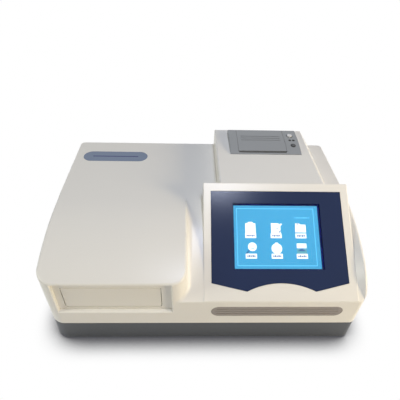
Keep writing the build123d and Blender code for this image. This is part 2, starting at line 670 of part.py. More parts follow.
def belt_clamp():
    """The block that joins the carriage's arm to the top run of the belt, with a lip on each side of it."""
    run = ROD_Z + PULLEY_R
    lip_in = CLAMP_HALF - 0.8
    body = block((BELT_X - CLAMP_HALF, BELT_X + CLAMP_HALF), CLAMP_Y, (run + 1.7, CARRIAGE_Z[0]))
    for inner, outer in ((-CLAMP_HALF, -lip_in), (lip_in, CLAMP_HALF)):
        body += block((BELT_X + inner, BELT_X + outer), CLAMP_Y, (run - 1.4, run + 1.7))
    return body


def guide_rods():
    return Compound([rod_y(ROD_R, x, (15, 309), ROD_Z) for x in ROD_X])


def rail_brackets():
    brackets = []
    x = (CARRIAGE_X[0] - 2, ROD_X[1] + 5)
    for y in ((16, 19), (304, 307)):
        plate = block(x, y, (CHASSIS_TOP, 80))
        plate -= block((MID_X - 22, MID_X + 22), (y[0] - 1, y[1] + 1), (40, 90))
        foot_y = (y[0], y[0] + 14) if y[0] < DEPTH / 2 else (y[1] - 14, y[1])
        for foot in (x[0] + 10, x[1] - 34):
            plate += block((foot, foot + 24), foot_y, (CHASSIS_TOP, CHASSIS_TOP + 3))
        for rod in ROD_X:
            plate -= rod_y(ROD_R + 0.02, rod, (y[0] - 1, y[1] + 1), ROD_Z)
        brackets.append(plate)
    return Compound(brackets)


def drive_motor():
    """The carriage's motor, on an upright plate beside the belt."""
    y, z = BELT_ENDS[1], ROD_Z
    half = 20.0
    plate = (BELT_X + 4.5, BELT_X + 7.5)
    case = (plate[1] + 3, plate[1] + 36)
    body = block(case, (y - half, y + half), (z - half - 1, z + half + 1))
    body = fillet(body.edges().filter_by(Axis.X), 4.0)
    body += rod_x(11, (plate[0] + 1, case[0]), y, z)
    mount = block(plate, (y - half, y + half), (CHASSIS_TOP, z + 21))
    mount -= rod_x(11.5, (plate[0] - 2, plate[1] + 1), y, z)
    mount += block((plate[0], plate[0] + 26), (y - half, y + half), (CHASSIS_TOP, CHASSIS_TOP + 3))
    mount += block((plate[0] + 2, case[0] + 0.5), (y - half, y + half), (z + 16, z + 21))
    return body + mount - rod_x(SHAFT_R + 0.05, (plate[0] - 1, case[0] + 15), y, z)


def motor_shaft():
    return rod_x(SHAFT_R, (BELT_X - 5, BELT_X + 25), BELT_ENDS[1], ROD_Z)


def pulley(y, bore):
    body = rod_x(PULLEY_R, (BELT_X - 3, BELT_X + 3), y, ROD_Z)
    body += rod_x(PULLEY_R + 2, (BELT_X - 4.2, BELT_X - 3.2), y, ROD_Z)
    body += rod_x(PULLEY_R + 2, (BELT_X + 3.2, BELT_X + 4.2), y, ROD_Z)
    body += rod_x(PULLEY_R - 1.5, (BELT_X - 4.2, BELT_X + 4.2), y, ROD_Z)
    return body - rod_x(bore, (BELT_X - 6, BELT_X + 6), y, ROD_Z)


def drive_pulley():
    return pulley(BELT_ENDS[1], SHAFT_R)


def idler_pulley():
    return pulley(BELT_ENDS[0], 2.05)


def idler_bracket():
    y, z = BELT_ENDS[0], ROD_Z
    post = block((BELT_X + 6, BELT_X + 9), (y - 6, y + 8), (CHASSIS_TOP, z + 8))
    foot = block((BELT_X + 6, BELT_X + 26), (y - 6, y + 8), (CHASSIS_TOP, CHASSIS_TOP + 3))
    return post + foot + rod_x(2.0, (BELT_X - 5, BELT_X + 7), y, z)


def drive_belt():
    outer, inner = PULLEY_R + 1.3, PULLEY_R + 0.1
    band = block((BELT_X - 2.9, BELT_X + 2.9), BELT_ENDS, (ROD_Z - outer, ROD_Z + outer))
    gap = block((BELT_X - 4, BELT_X + 4), BELT_ENDS, (ROD_Z - inner, ROD_Z + inner))
    for y in BELT_ENDS:
        band += rod_x(outer, (BELT_X - 2.9, BELT_X + 2.9), y, ROD_Z)
        gap += rod_x(inner, (BELT_X - 4, BELT_X + 4), y, ROD_Z)
    return band - gap


def home_sensor():
    body = block((-128, -116), (294, 302), (CHASSIS_TOP + 3, 66))
    body += block((-134, -110), (290, 303.5), (CHASSIS_TOP, CHASSIS_TOP + 3))
    fork = block((-127, -117), (296, 300), (66, 78)) - block((-124, -120), (295, 301), (69, 80))
    return body + fork


def head_bridge():
    """The arch that carries the measuring head over the carriage."""
    y = (HEAD_Y[0] - 6, HEAD_Y[1] + 6)
    beam = block(BRIDGE_X, y, (HEAD_Z[1], HEAD_Z[1] + 6))
    for x in (BRIDGE_X[0], BRIDGE_X[1] - BRIDGE_THICK):
        beam += block((x, x + BRIDGE_THICK), y, (CHASSIS_TOP, HEAD_Z[1] + 1))
        beam += block((x, x + 13), y, (CHASSIS_TOP, CHASSIS_TOP + 3))
    window = (BRIDGE_X[1] - BRIDGE_THICK - 3, BRIDGE_X[1] + 3)
    return beam - block(window, (HEAD_Y[0] + 3, HEAD_Y[1] + 3), (HEAD_Z[0], HEAD_Z[1]))


def channel_places():
    return [MID_X + (n - (CHANNELS - 1) / 2) * PITCH for n in range(CHANNELS)]


def measuring_head():
    middle = (HEAD_Y[0] + HEAD_Y[1]) / 2
    bar = block((MID_X - 58, MID_X + 62), HEAD_Y, (HEAD_Z[0] + 3, HEAD_Z[1]))
    for x in channel_places():
        bar += rod_z(3.2, x, middle, (HEAD_Z[0], HEAD_Z[0] + 4))
        bar -= rod_z(1.6, x, middle, (HEAD_Z[0] - 1, HEAD_Z[0] + 3))
    return bar


def detector_board():
    """The board under the plate's path, between the bush pads, with one detector for each channel."""
    middle = (HEAD_Y[0] + HEAD_Y[1]) / 2
    board = block((MID_X - DETECTOR_HALF, MID_X + DETECTOR_HALF), (middle - 9, middle + 9), DETECTOR_Z)
    for x in (MID_X - DETECTOR_HALF, MID_X + DETECTOR_HALF - 6):
        board += block((x, x + 6), (middle - 7, middle + 7), (CHASSIS_TOP, DETECTOR_Z[0] + 0.5))
    for x in channel_places():
        board += rod_z(2.8, x, middle, (DETECTOR_Z[0] + 1, 81))
    return board


def lamp_house():
    body = block((46, 96), (WHEEL_Y - 20, WHEEL_Y + 20), (BEAM_Z - 9, BEAM_Z + 26))
    for n in range(6):
        x = 54 + 7 * n
        body -= block((x, x + VENT_GAP), (WHEEL_Y - 22, WHEEL_Y + 22), (BEAM_Z + 17, BEAM_Z + 30))
    body -= rod_x(8.5, (44, 90), WHEEL_Y, BEAM_Z)
    body += rod_x(8.9, (40, 50), WHEEL_Y, BEAM_Z)
    body -= rod_x(FILTER_R, (38, 52), WHEEL_Y, BEAM_Z)
    stand = block((88, 94), (WHEEL_Y - 16, WHEEL_Y + 16), (CHASSIS_TOP, BEAM_Z - 8.7))
    return body + stand + block((78, 104), (WHEEL_Y - 16, WHEEL_Y + 16), (CHASSIS_TOP, CHASSIS_TOP + 3))


def lamp():
    bulb = rod_x(5, (61, 79), WHEEL_Y, BEAM_Z)
    bulb = fillet(bulb.edges().sort_by(Axis.X)[0], 4.8)
    return bulb + rod_x(8.3, (78, 89.8), WHEEL_Y, BEAM_Z)


def ring_places(radius, turn=0.0):
    """The places of the filters, or of the holes between them, round the wheel."""
    angles = [radians(360 / FILTERS * n + turn) for n in range(FILTERS)]
    return [(WHEEL_Y + radius * sin(a), WHEEL_Z + radius * cos(a)) for a in angles]


def filter_wheel():
    wheel = rod_x(WHEEL_R, (WHEEL_X - 2.5, WHEEL_X + 2.5), WHEEL_Y, WHEEL_Z)
    wheel += rod_x(8, (WHEEL_X - 6, WHEEL_X + 6), WHEEL_Y, WHEEL_Z)
    for y, z in ring_places(FILTER_RING_R):
        wheel -= rod_x(FILTER_R + 0.1, (WHEEL_X - 4, WHEEL_X + 4), y, z)
    for y, z in ring_places(20.0, 180 / FILTERS):
        wheel -= rod_x(3, (WHEEL_X - 4, WHEEL_X + 4), y, z)
    return wheel - rod_x(SHAFT_R, (WHEEL_X - 8, WHEEL_X + 8), WHEEL_Y, WHEEL_Z)


def optical_filters():
    places = ring_places(FILTER_RING_R)
    return Compound([rod_x(FILTER_R, (WHEEL_X - 1.5, WHEEL_X + 1.5), y, z) for y, z in places])


def wheel_motor():
    y, z = WHEEL_Y, WHEEL_Z
    body = block((40, 70), (y - 17, y + 17), (z - 17, z + 17))
    body = fillet(body.edges().filter_by(Axis.X), 3.0)
    stand = block((40, 43), (y - 17, y + 17), (CHASSIS_TOP, z - 16))
    foot = block((40, 66), (y - 17, y + 17), (CHASSIS_TOP, CHASSIS_TOP + 3))
    return body + stand + foot - rod_x(SHAFT_R + 0.05, (38, 60), y, z)


def wheel_shaft():
    return rod_x(SHAFT_R, (WHEEL_X - 6, 59), WHEEL_Y, WHEEL_Z)


def fibre_mount():
    """The upright plate whose nozzle holds the fibres in line with the lamp."""
    x, y, half = (16, 20), WHEEL_Y, 12.0
    plate = block(x, (y - half, y + half), (CHASSIS_TOP, BEAM_Z + 12))
    plate -= block((14, 22), (y - half - 0.1, y + half + 0.1), (40, 88))
    for side in (y - half, y + half - 2.8):
        plate += block(x, (side, side + 2.8), (39, 90))
    plate += block((2, 20), (y - half, y + half), (CHASSIS_TOP, CHASSIS_TOP + 3))
    plate += rod_x(6, (12, 24), y, BEAM_Z)
    return plate - rod_x(4.0, (8, 17), y, BEAM_Z) - rod_x(2.5, (10, 26), y, BEAM_Z)


def fibre_bundle():
    """One armoured bundle from the filter wheel to the measuring head."""
    points = [Vector(x, back(y), z) for x, y, z in FIBRE_ROUTE]
    radii = []
    for before, at, after in zip(points, points[1:], points[2:]):
        shorter = min((at - before).length, (after - at).length)
        turn = radians((at - before).get_angle(after - at))
        radii.append(0.45 * shorter / tan(turn / 2))
    print("fibre bundle radii", [round(r, 1) for r in radii])
    path = FilletPolyline(*points, radius=radii)
    start = Plane(origin=path @ 0, z_dir=path % 0)
    return sweep(start * Circle(FIBRE_R), path=path)


def main_board():
    board = block((-14, 206), (24, 152), BOARD_Z)
    for x, y in BOARD_CORNERS:
        board -= rod_z(1.7, x, y, (20, 30))
    return board


def board_parts():
    """Three chips, a heat sink with its fins, a row of sockets and a row of capacitors."""
    top = BOARD_Z[1]
    parts = [block((20, 48), (60, 88), (top, top + 2.8))]
    parts.append(block((70, 92), (54, 72), (top, top + 2)))
    parts.append(block((112, 140), (90, 118), (top, top + 3.4)))
    sink = block((150, 180), (56, 86), (top, top + 3.4))
    for n in range(6):
        sink += block((150, 180), (56 + 5.6 * n, 58 + 5.6 * n), (top + 2.4, top + 14.4))
    parts.append(sink)
    parts += [block((6 + 34 * n, 30 + 34 * n), (130, 137), (top, top + 7.4)) for n in range(5)]
    parts += [rod_z(5, 190, 50 + 14 * n, (top, top + 14.4)) for n in range(4)]
    return Compound(parts)


def board_standoffs():
    posts = []
    for x, y in BOARD_CORNERS:
        stud = rod_z(1.5, x, y, (BOARD_Z[0] - 1, BOARD_Z[1] + 1.4))
        posts.append(rod_z(3.5, x, y, (CHASSIS_TOP, BOARD_Z[0])) + stud)
    return Compound(posts)


def power_supply():
    body = block((106, 208), (206, 300), (CHASSIS_TOP, 54))
    for row in range(6):
        for column in range(8):
            x, y = 115 + 12 * column, 216 + 14 * row
            body -= rod_z(3, x, y, (52, 56))
    return body


def rear_panel():
    """The panel with the slots over the fan and the openings for the inlet, the switch and the ports."""
    edge = PANEL_LEDGE - 0.3
    through = (DEPTH - 3, DEPTH + 1)
    inner = DEPTH - PANEL_DEEP
    plate = block((PANEL_X[0] - edge, PANEL_X[1] + edge), (inner, inner + PANEL_THICK),
                  (PANEL_Z[0] - edge, PANEL_Z[1] + edge))
    for x, z in PANEL_SCREWS:
        plate -= rod_y(1.3, x, (DEPTH - 5, DEPTH), z)
    x, z = FAN_AT
    for ring in range(4):
        outer = 25.5 - 6 * ring
        cut = rod_y(outer, x, through, z) - rod_y(outer - 3.7, x, through, z)
        for turn in (45, 135):
            cut -= Pos(x, back(DEPTH), z) * Rot(0, turn, 0) * Box(60, 10, 3)
        plate -= cut
    openings = [(*INLET_AT, 28.0, 21.0), (*SWITCH_AT, 20.4, 13.4), *PORTS]
    for x, z, w, h in openings:
        plate -= block((x - w / 2, x + w / 2), through, (z - h / 2, z + h / 2))
    return plate


def fan_frame():
    x, z = FAN_AT
    depth = (DEPTH - PANEL_DEEP - 15.1, DEPTH - PANEL_DEEP - 0.1)
    frame = block((x - 30, x + 30), depth, (z - 30, z + 30)) - rod_y(FAN_R + 1, x, (290, 320), z)
    hub = rod_y(11, x, (depth[0], depth[0] + 3), z)
    for turn in (0, 90):
        hub += Pos(x, back(depth[0] + 1.5), z) * Rot(0, turn + 45, 0) * Box(58, 3, 4)
    return frame + hub + rod_y(1.5, x, (depth[0] + 1, depth[0] + 9), z)


def fan_rotor():
    x, z = FAN_AT
    depth = (DEPTH - PANEL_DEEP - 11.5, DEPTH - PANEL_DEEP - 1.2)
    rotor = rod_y(12, x, depth, z)
    for n in range(7):
        blade = Pos(17.5, 0, 0) * Rot(38, 0, 0) * Box(16, 1.2, 11)
        rotor += Pos(x, back((depth[0] + depth[1]) / 2), z) * Rot(0, 360 / 7 * n, 0) * blade
    return rotor - rod_y(1.55, x, (depth[0] - 1, depth[0] + 7), z)


def mains_inlet():
    x, z = INLET_AT
    face = DEPTH - PANEL_DEEP + PANEL_THICK
    body = block((x - 13.6, x + 13.6), (face - 20, face), (z - 10.1, z + 10.1))
    body -= block((x - 12, x + 12), (face - 16, face + 1), (z - 8.2, z + 8.2))
    for dx, dz in ((-7, -2), (7, -2), (0, 2.5)):
        body += block((x + dx - 1, x + dx + 1), (face - 17, face - 5), (z + dz - 2, z + dz + 2))
    return body


def switch_housing():
    x, z = SWITCH_AT
    face = DEPTH - PANEL_DEEP + PANEL_THICK
    body = block((x - 10, x + 10), (face - 17, face), (z - 6.5, z + 6.5))
    body -= block((x - 8.9, x + 8.9), (face - 9, face + 1), (z - 5.4, z + 5.4))
    return body + rod_z(0.9, x, face - ROCKER_PIVOT_IN, (z - 6, z + 6))


def switch_rocker():
    x, z = SWITCH_AT
    face = DEPTH - PANEL_DEEP + PANEL_THICK
    half = 8.3
    outline = Polygon((x - half, face - 4.2), (x - half, face - 3.0), (x, face - 0.9), (x + half, face - 3.0),
                      (x + half, face - 4.2), (x, face - 6.0), align=None)
    body = Pos(0, -DEPTH / 2, z - 5) * extrude(outline, 10, dir=(0, 0, 1))
    body -= rod_z(0.95, x, face - ROCKER_PIVOT_IN, (z - 7, z + 7))
    pivot = Axis((x, back(face - ROCKER_PIVOT_IN), z), (0, 0, 1))
    return body.rotate(pivot, -ROCKER_TILT)


def data_ports():
    """Two flat sockets and one wide one, each a metal shell with its tongue."""
    ports = []
    for x, z, w, h in PORTS:
        outer, inner = (w / 2 - 0.3, h / 2 - 0.3), (w / 2 - 1, h / 2 - 1)
        shell = block((x - outer[0], x + outer[0]), (DEPTH - 17, DEPTH - 0.6), (z - outer[1], z + outer[1]))
        shell -= block((x - inner[0], x + inner[0]), (DEPTH - 10, DEPTH + 1), (z - inner[1], z + inner[1]))
        tongue_x, tongue_z = w / 2 - 2.5, h / 12 if h < 10 else h / 6
        shell += block((x - tongue_x, x + tongue_x), (DEPTH - 11, DEPTH - 2.5), (z - tongue_z, z + tongue_z))
        ports.append(shell)
    return Compound(ports)


def panel_screws():
    screws = []
    face = DEPTH - PANEL_DEEP + PANEL_THICK
    for x, z in PANEL_SCREWS:
        head = rod_y(2.4, x, (face, face + 1.0), z) - rod_y(1.1, x, (face + 0.4, face + 2), z)
        screws.append(head + rod_y(1.2, x, (DEPTH - 7, face + 0.2), z))
    return Compound(screws)


def printer_frame():
    """The fixed grey surround of the printer, with its key field on the right."""
    body = along_x(printer_profile(0), PRINTER_X)
    ends = [e for e in body.edges() if e.center().Z > HOUSING_Z + 1 and
            (abs(e.center().X - PRINTER_X[0]) < 0.1 or abs(e.center().X - PRINTER_X[1]) < 0.1)]
    body = soften(body, ends, 1.5)
    body &= block((0, 300), (0, 400), (HOUSING_Z + 0.05, 300))
    collar = 2.3
    body += block((PRINTER_X[0] + collar, PRINTER_X[1] - collar),
                  (PRINTER_Y[0] + collar, PRINTER_Y[1] - collar), (HOUSING_Z - 6, HOUSING_Z + 0.1))
    mouth = (PAPER_DOOR_X[0] - DOOR_GAP, PAPER_DOOR_X[1] + DOOR_GAP)
    body -= block(mouth, (PRINTER_Y[0] + 5.4, PRINTER_Y[1] + 4), (HOUSING_Z - 0.5, 300))
    body -= block((mouth[0] - 0.5, mouth[1] + 0.5), (PRINTER_Y[0] + 5, PRINTER_Y[1] - 5), (0, HOUSING_Z))
    for (x, y), radius in ((RELEASE_AT, RELEASE_R), (FEED_AT, FEED_R)):
        body -= rod_z(radius + 0.25, x, y, (HOUSING_Z - 9, 300))
    for x, y in LAMP_PLACES:
        body -= rod_z(LAMP_R + 0.1, x, y, (PRINTER_TOP - 3, 300))
    for x in (mouth[0] - 3, mouth[1]):
        body -= rod_x(HINGE_ROD_R, (x - 0.2, x + 3.2), *DOOR_PIVOT)
    return body


def printer_well():
    x = (PAPER_DOOR_X[0] - 3, PAPER_DOOR_X[1] + 3)
    y = (PRINTER_Y[0] + 4.6, PRINTER_Y[1] - 4.6)
    body = block(x, y, (WELL_Z, HOUSING_Z - 6))
    floor_r = PAPER_ROLL_R + 2.5
    hollow = block((x[0] + 2, x[1] - 2), (y[0] + 10, y[1] - 2), (ROLL_AT[1], HOUSING_Z))
    hollow += rod_x(floor_r, (x[0] + 2, x[1] - 2), *ROLL_AT)
    hollow &= block(x, (y[0] + 2, y[1] - 2), (WELL_Z + 2, HOUSING_Z + 1))
    head_y = PRINTER_Y[0] + HEAD_BACK
    slot = block((x[0] + 2, x[1] - 2), (head_y - 1.1, y[1] - 20), (HOUSING_Z - 14, HOUSING_Z))
    return body - hollow - slot


def paper_roll():
    x = (DOOR_MIDDLE - PAPER_WIDTH / 2, DOOR_MIDDLE + PAPER_WIDTH / 2)
    return rod_x(PAPER_ROLL_R, x, *ROLL_AT) - rod_x(CORE_R, (x[0] - 1, x[1] + 1), *ROLL_AT)


def roll_core():
    x = (DOOR_MIDDLE - PAPER_WIDTH / 2, DOOR_MIDDLE + PAPER_WIDTH / 2)
    return rod_x(CORE_R - 0.02, x, *ROLL_AT) - rod_x(CORE_BORE_R, (x[0] - 1, x[1] + 1), *ROLL_AT)


def paper_door():
    """The curved lid over the paper, with its grip ribs and the arms that hold the platen roller."""
    left, right = PAPER_DOOR_X
    body = along_x(printer_profile(0), PAPER_DOOR_X) - along_x(printer_profile(DOOR_SHELL), (0, 300))
    body &= block((0, 300), (PRINTER_Y[0] + 7.2, PRINTER_Y[1] + 5), (HOUSING_Z + 1.2, 300))
    for n in range(3):
        y = 266 + 6 * n
        rib = along_x(printer_profile(-0.5), (left + 7, right - 7)) - along_x(printer_profile(1), (0, 300))
        body += rib & block((0, 300), (y, y + 1.6), (HOUSING_Z + 2, 300))
    y, z = PLATEN_AT
    for x in ((left + 0.2, left + 2.2), (right - 2.2, right - 0.2)):
        body += block(x, (y - 3, y + 4), (z - 2.5, HOUSING_Z + 3))
        body += block(x, (y + 1, y + 8), (HOUSING_Z + 1.4, HOUSING_Z + 4))
        body -= rod_x(HINGE_ROD_R + 0.06, (x[0] - 1, x[1] + 1), *PLATEN_AT)
    body += rod_x(KNUCKLE_R, PAPER_DOOR_X, *DOOR_PIVOT)
    return body - rod_x(HINGE_ROD_R + BUSH_GAP, (left - 1, right + 1), *DOOR_PIVOT)


def door_rod():
    return rod_x(HINGE_ROD_R, (PAPER_DOOR_X[0] - 3.2, PAPER_DOOR_X[1] + 3.2), *DOOR_PIVOT)


def platen_roller():
    rubber = rod_x(PLATEN_R, (PAPER_DOOR_X[0] + 2.8, PAPER_DOOR_X[1] - 2.8), *PLATEN_AT)
    return rubber - rod_x(HINGE_ROD_R, (0, 300), *PLATEN_AT)


def platen_shaft():
    return rod_x(HINGE_ROD_R, (PAPER_DOOR_X[0] + 0.2, PAPER_DOOR_X[1] - 0.2), *PLATEN_AT)


def print_head():
    y = PRINTER_Y[0] + HEAD_BACK
    return block((PAPER_DOOR_X[0] + 3, PAPER_DOOR_X[1] - 3), (y - 0.9, y + 1.5),
                 (HOUSING_Z - 14, HOUSING_Z - 0.6))


def key_cap(place, radius, top):
    cap = rod_z(radius, *place, (HOUSING_Z - 2, top))
    cap = fillet(cap.edges().group_by(Axis.Z)[-1], 0.8)
    return cap + rod_z(1.5, *place, (HOUSING_Z - 6, HOUSING_Z - 1))


def surface_z(y):
    """The height of the printer's top at a distance behind the front."""
    section = printer_profile(0) & Pos(y, 0) * Rectangle(0.2, 600)
    return section.bounding_box().max.Y


def release_button():
    return key_cap(RELEASE_AT, RELEASE_R, PRINTER_TOP + 1.6)


def feed_button():
    return key_cap(FEED_AT, FEED_R, surface_z(FEED_AT[1]) + 0.7)


def status_lamps():
    lamps = [rod_z(LAMP_R, x, y, (PRINTER_TOP - 3, surface_z(y) + 0.4)) for x, y in LAMP_PLACES]
    return Compound(lamps)


PARTS = {
    "top_cover": top_cover,
    "base_tray": base_tray,
    "rubber_feet": rubber_feet,
    "cover_screws": cover_screws,
    "chassis_plate": chassis_plate,
    "screen_bezel": screen_bezel,
    "touch_glass": touch_glass,
    "display_module": display_module,
    "display_bracket": display_bracket,
    "front_strip": front_strip,
    "name_badge": name_badge,
    "plate_flap": plate_flap,
    "flap_pins": flap_pins,
    "plate_carriage": plate_carriage,
    "carriage_bushes": carriage_bushes,
    "belt_clamp": belt_clamp,
    "guide_rods": guide_rods,
    "rail_brackets": rail_brackets,
    "drive_motor": drive_motor,
    "motor_shaft": motor_shaft,
    "drive_pulley": drive_pulley,
    "idler_pulley": idler_pulley,
    "idler_bracket": idler_bracket,
    "drive_belt": drive_belt,
    "home_sensor": home_sensor,
    "head_bridge": head_bridge,
    "measuring_head": measuring_head,
    "detector_board": detector_board,
    "lamp_house": lamp_house,
    "lamp": lamp,
    "filter_wheel": filter_wheel,
    "optical_filters": optical_filters,
    "wheel_motor": wheel_motor,
    "wheel_shaft": wheel_shaft,
    "fibre_mount": fibre_mount,
    "fibre_bundle": fibre_bundle,
    "main_board": main_board,
    "board_parts": board_parts,
    "board_standoffs": board_standoffs,
    "power_supply": power_supply,
    "rear_panel": rear_panel,
    "fan_frame": fan_frame,
    "fan_rotor": fan_rotor,
    "mains_inlet": mains_inlet,
    "switch_housing": switch_housing,
    "switch_rocker": switch_rocker,
    "data_ports": data_ports,
    "panel_screws": panel_screws,
    "printer_frame": printer_frame,
    "printer_well": printer_well,
    "paper_roll": paper_roll,
    "roll_core": roll_core,
    "paper_door": paper_door,
    "door_rod": door_rod,
    "platen_roller": platen_roller,
    "platen_shaft": platen_shaft,
    "print_head": print_head,
    "release_button": release_button,
    "feed_button": feed_button,
    "status_lamps": status_lamps,
}

os.makedirs("parts", exist_ok=True)
for name, make in PARTS.items():
    export_step(make(), f"parts/{name}.step")
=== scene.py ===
from math import cos, pi, radians, sin

import bmesh
import bpy
from mathutils import Matrix, Vector


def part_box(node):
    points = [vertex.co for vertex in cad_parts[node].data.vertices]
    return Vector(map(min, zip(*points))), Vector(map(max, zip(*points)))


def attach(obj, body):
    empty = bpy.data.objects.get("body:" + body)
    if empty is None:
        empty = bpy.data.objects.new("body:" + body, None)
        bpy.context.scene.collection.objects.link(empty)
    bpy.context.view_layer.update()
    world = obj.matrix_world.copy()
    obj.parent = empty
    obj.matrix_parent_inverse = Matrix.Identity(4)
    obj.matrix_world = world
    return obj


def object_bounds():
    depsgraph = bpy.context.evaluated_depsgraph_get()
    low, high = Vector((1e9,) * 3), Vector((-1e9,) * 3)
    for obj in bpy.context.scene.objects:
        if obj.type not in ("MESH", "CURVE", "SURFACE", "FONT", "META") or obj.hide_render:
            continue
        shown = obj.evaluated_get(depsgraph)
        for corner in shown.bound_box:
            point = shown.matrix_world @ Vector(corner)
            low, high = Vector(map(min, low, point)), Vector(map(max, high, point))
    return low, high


bl_info = {
    "name": "Microplate Reader",
    "version": (1, 0, 0),
    "blender": (4, 5, 0),
    "location": "3D View > Sidebar > Reader",
    "description": "Dresses the microplate reader and sets up its stage",
    "category": "Object",
}

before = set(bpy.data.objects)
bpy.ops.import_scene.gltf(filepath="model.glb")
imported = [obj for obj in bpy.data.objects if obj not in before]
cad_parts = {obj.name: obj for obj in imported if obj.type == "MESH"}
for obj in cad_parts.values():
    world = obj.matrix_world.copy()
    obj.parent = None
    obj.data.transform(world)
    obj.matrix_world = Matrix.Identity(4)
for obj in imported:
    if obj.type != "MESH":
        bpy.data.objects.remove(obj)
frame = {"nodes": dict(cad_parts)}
CAD_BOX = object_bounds()
MM = 0.001


class Signal:
    """A shader socket that adds a Math node for each operator used on it."""

    def __init__(self, nodes, socket):
        self.nodes = nodes
        self.socket = socket

    def __add__(self, other):
        return self.nodes.maths("ADD", self, other)

    def __mul__(self, other):
        return self.nodes.maths("MULTIPLY", self, other)

    def __lt__(self, other):
        return self.nodes.maths("LESS_THAN", self, other)

    def __sub__(self, other):
        return self.nodes.maths("SUBTRACT", self, other)

    def __rsub__(self, other):
        return self.nodes.maths("SUBTRACT", other, self)

    __radd__ = __add__
    __rmul__ = __mul__


class Nodes:
    """Adds nodes to one node tree and links them."""

    def __init__(self, tree):
        self.tree = tree

    def node(self, kind, settings=(), **inputs):
        """A node of any type: its settings first, then its sockets, by name, or by number as i0, i1 and so on."""
        made = self.tree.nodes.new(kind)
        for key, value in dict(settings).items():
            setattr(made, key, value)
        for key, value in inputs.items():
            slot = made.inputs[int(key[1:])] if key[0] == "i" and key[1:].isdigit() else made.inputs[key]
            self.feed(slot, value)
        return made

    def feed(self, slot, value):
        if isinstance(value, Signal):
            self.tree.links.new(value.socket, slot)
        else:
            slot.default_value = value

    def out(self, made, name=0):
        return Signal(self, made.outputs[name])

    def maths(self, operation, first, second):
        return self.out(self.node("ShaderNodeMath", {"operation": operation}, i0=first, i1=second))

    def mix(self, amount, first, second):
        return self.out(self.node("ShaderNodeMix", {"data_type": "RGBA"}, i0=amount, i6=first, i7=second), 2)

    def seen(self):
        """Above 0 where a ray comes from the camera, from a mirror or through glass."""
        paths = self.node("ShaderNodeLightPath")
        kinds = ("Is Camera Ray", "Is Glossy Ray", "Is Transmission Ray")
        camera, glossy, through = (self.out(paths, kind) for kind in kinds)
        return camera + glossy + through


class Finish(Nodes):
    """A material for one of the reader's surfaces, built around a Principled shader."""

    def __init__(self, name, colour, roughness=0.5, metallic=0.0, specular=0.5):
        self.material = bpy.data.materials.new(name)
        self.material.use_nodes = True
        super().__init__(self.material.node_tree)
        self.shader = self.tree.nodes["Principled BSDF"]
        self.colour = (*colour[:3], 1.0)
        self.set("Base Color", self.colour)
        self.set("Roughness", roughness)
        self.set("Metallic", metallic)
        self.set("Specular IOR Level", specular)
        self.material.diffuse_color = self.colour
        self.place = None

    def set(self, name, value):
        """Gives a value or a signal to a socket of the shader."""
        self.feed(self.shader.inputs[name], value)

    def position(self):
        """Where a point lies on the reader, in metres. It stays with the piece when that moves."""
        if self.place is None:
            self.place = self.out(self.node("ShaderNodeTexCoord"), "Object")
        return self.place

    def stretched(self, scale):
        return self.out(self.node("ShaderNodeMapping", Vector=self.position(), Scale=scale))

    def noise(self, size, detail=2.0, stretch=None, rough=0.5):
        """Cloudy noise from 0 to 1, whose lumps are about size metres across."""
        where = self.stretched(stretch) if stretch else self.position()
        made = self.node("ShaderNodeTexNoise", Vector=where, Scale=1.0 / size, Detail=detail, Roughness=rough)
        return self.out(made, "Fac")

    def cells(self, size, feature="F1"):
        settings = {"feature": feature}
        made = self.node("ShaderNodeTexVoronoi", settings, Vector=self.position(), Scale=1.0 / size)
        return self.out(made, "Distance")

    def ramp(self, signal, low, high):
        """Stretches a part of a signal's range to 0 to 1, softly."""
        return self.out(self.node(
            "ShaderNodeMapRange", {"interpolation_type": "SMOOTHSTEP"}, i0=signal, i1=low, i2=high
        ))

    def shade(self, factor):
        """The finish's own colour, darker or lighter by a factor."""
        return tuple(min(1.0, part * factor) for part in self.colour[:3]) + (1.0,)

    def bump(self, height, distance, strength=1.0):
        made = self.node("ShaderNodeBump", Height=height, Distance=distance, Strength=strength)
        self.set("Normal", self.out(made))

    def within(self, x, y, radius):
        """1 inside an upright cylinder, 0 outside it."""
        flat = self.stretched((1.0, 1.0, 0.0))
        away = self.node("ShaderNodeVectorMath", {"operation": "DISTANCE"}, i0=flat, i1=(x, y, 0.0))
        return self.out(away, "Value") < radius

    def wear(self, amount):
        """Thin pale scuffs: small streaks, kept to scattered patches."""
        streaks = self.noise(0.004, 3.0, stretch=(1.0, 9.0, 4.0))
        patches = self.ramp(self.noise(0.05, 2.0), 0.52, 0.72)
        return self.ramp(streaks, 0.66, 0.74) * patches * amount


def moulded(name, colour, roughness, grain=0.0006, depth=0.00004, drift=0.05, scuffs=0.06, coat=0.0,
            specular=0.5, metallic=0.0, shade_spots=()):
    """Injection-moulded plastic: a fine spark texture, faint flow clouds and light scuffs.

    Grain and depth are the texture's pitch and height in metres, and drift is how far the clouds change the
    colour. The last argument lists the places and radii of dark discs of painted shade.
    """
    made = Finish(name, colour, roughness, metallic, specular)
    clouds = made.noise(0.11, 3.0)
    specks = made.noise(grain * 2.2, 1.0)
    tone = made.mix(clouds, made.shade(1.0 - drift), made.shade(1.0 + drift))
    tone = made.mix(made.ramp(specks, 0.2, 0.8) * 0.10, tone, made.shade(0.86))
    dull = roughness - 0.06 + clouds * 0.10
    # Dark discs of painted shade, laid round the printer's keys and lamps.
    for spot in shade_spots:
        tone = made.mix(made.within(*spot), tone, made.shade(0.12))
    if scuffs:
        scuff = made.wear(scuffs)
        tone = made.mix(scuff, tone, made.shade(1.35))
        dull = dull + scuff * 0.8
    made.set("Base Color", tone)
    made.set("Roughness", dull)
    if coat:
        made.set("Coat Weight", coat)
        made.set("Coat Roughness", 0.12)
    made.bump(made.noise(grain, 2.0) + made.cells(grain * 3.0) * 0.35, depth, 0.55)
    return made.material


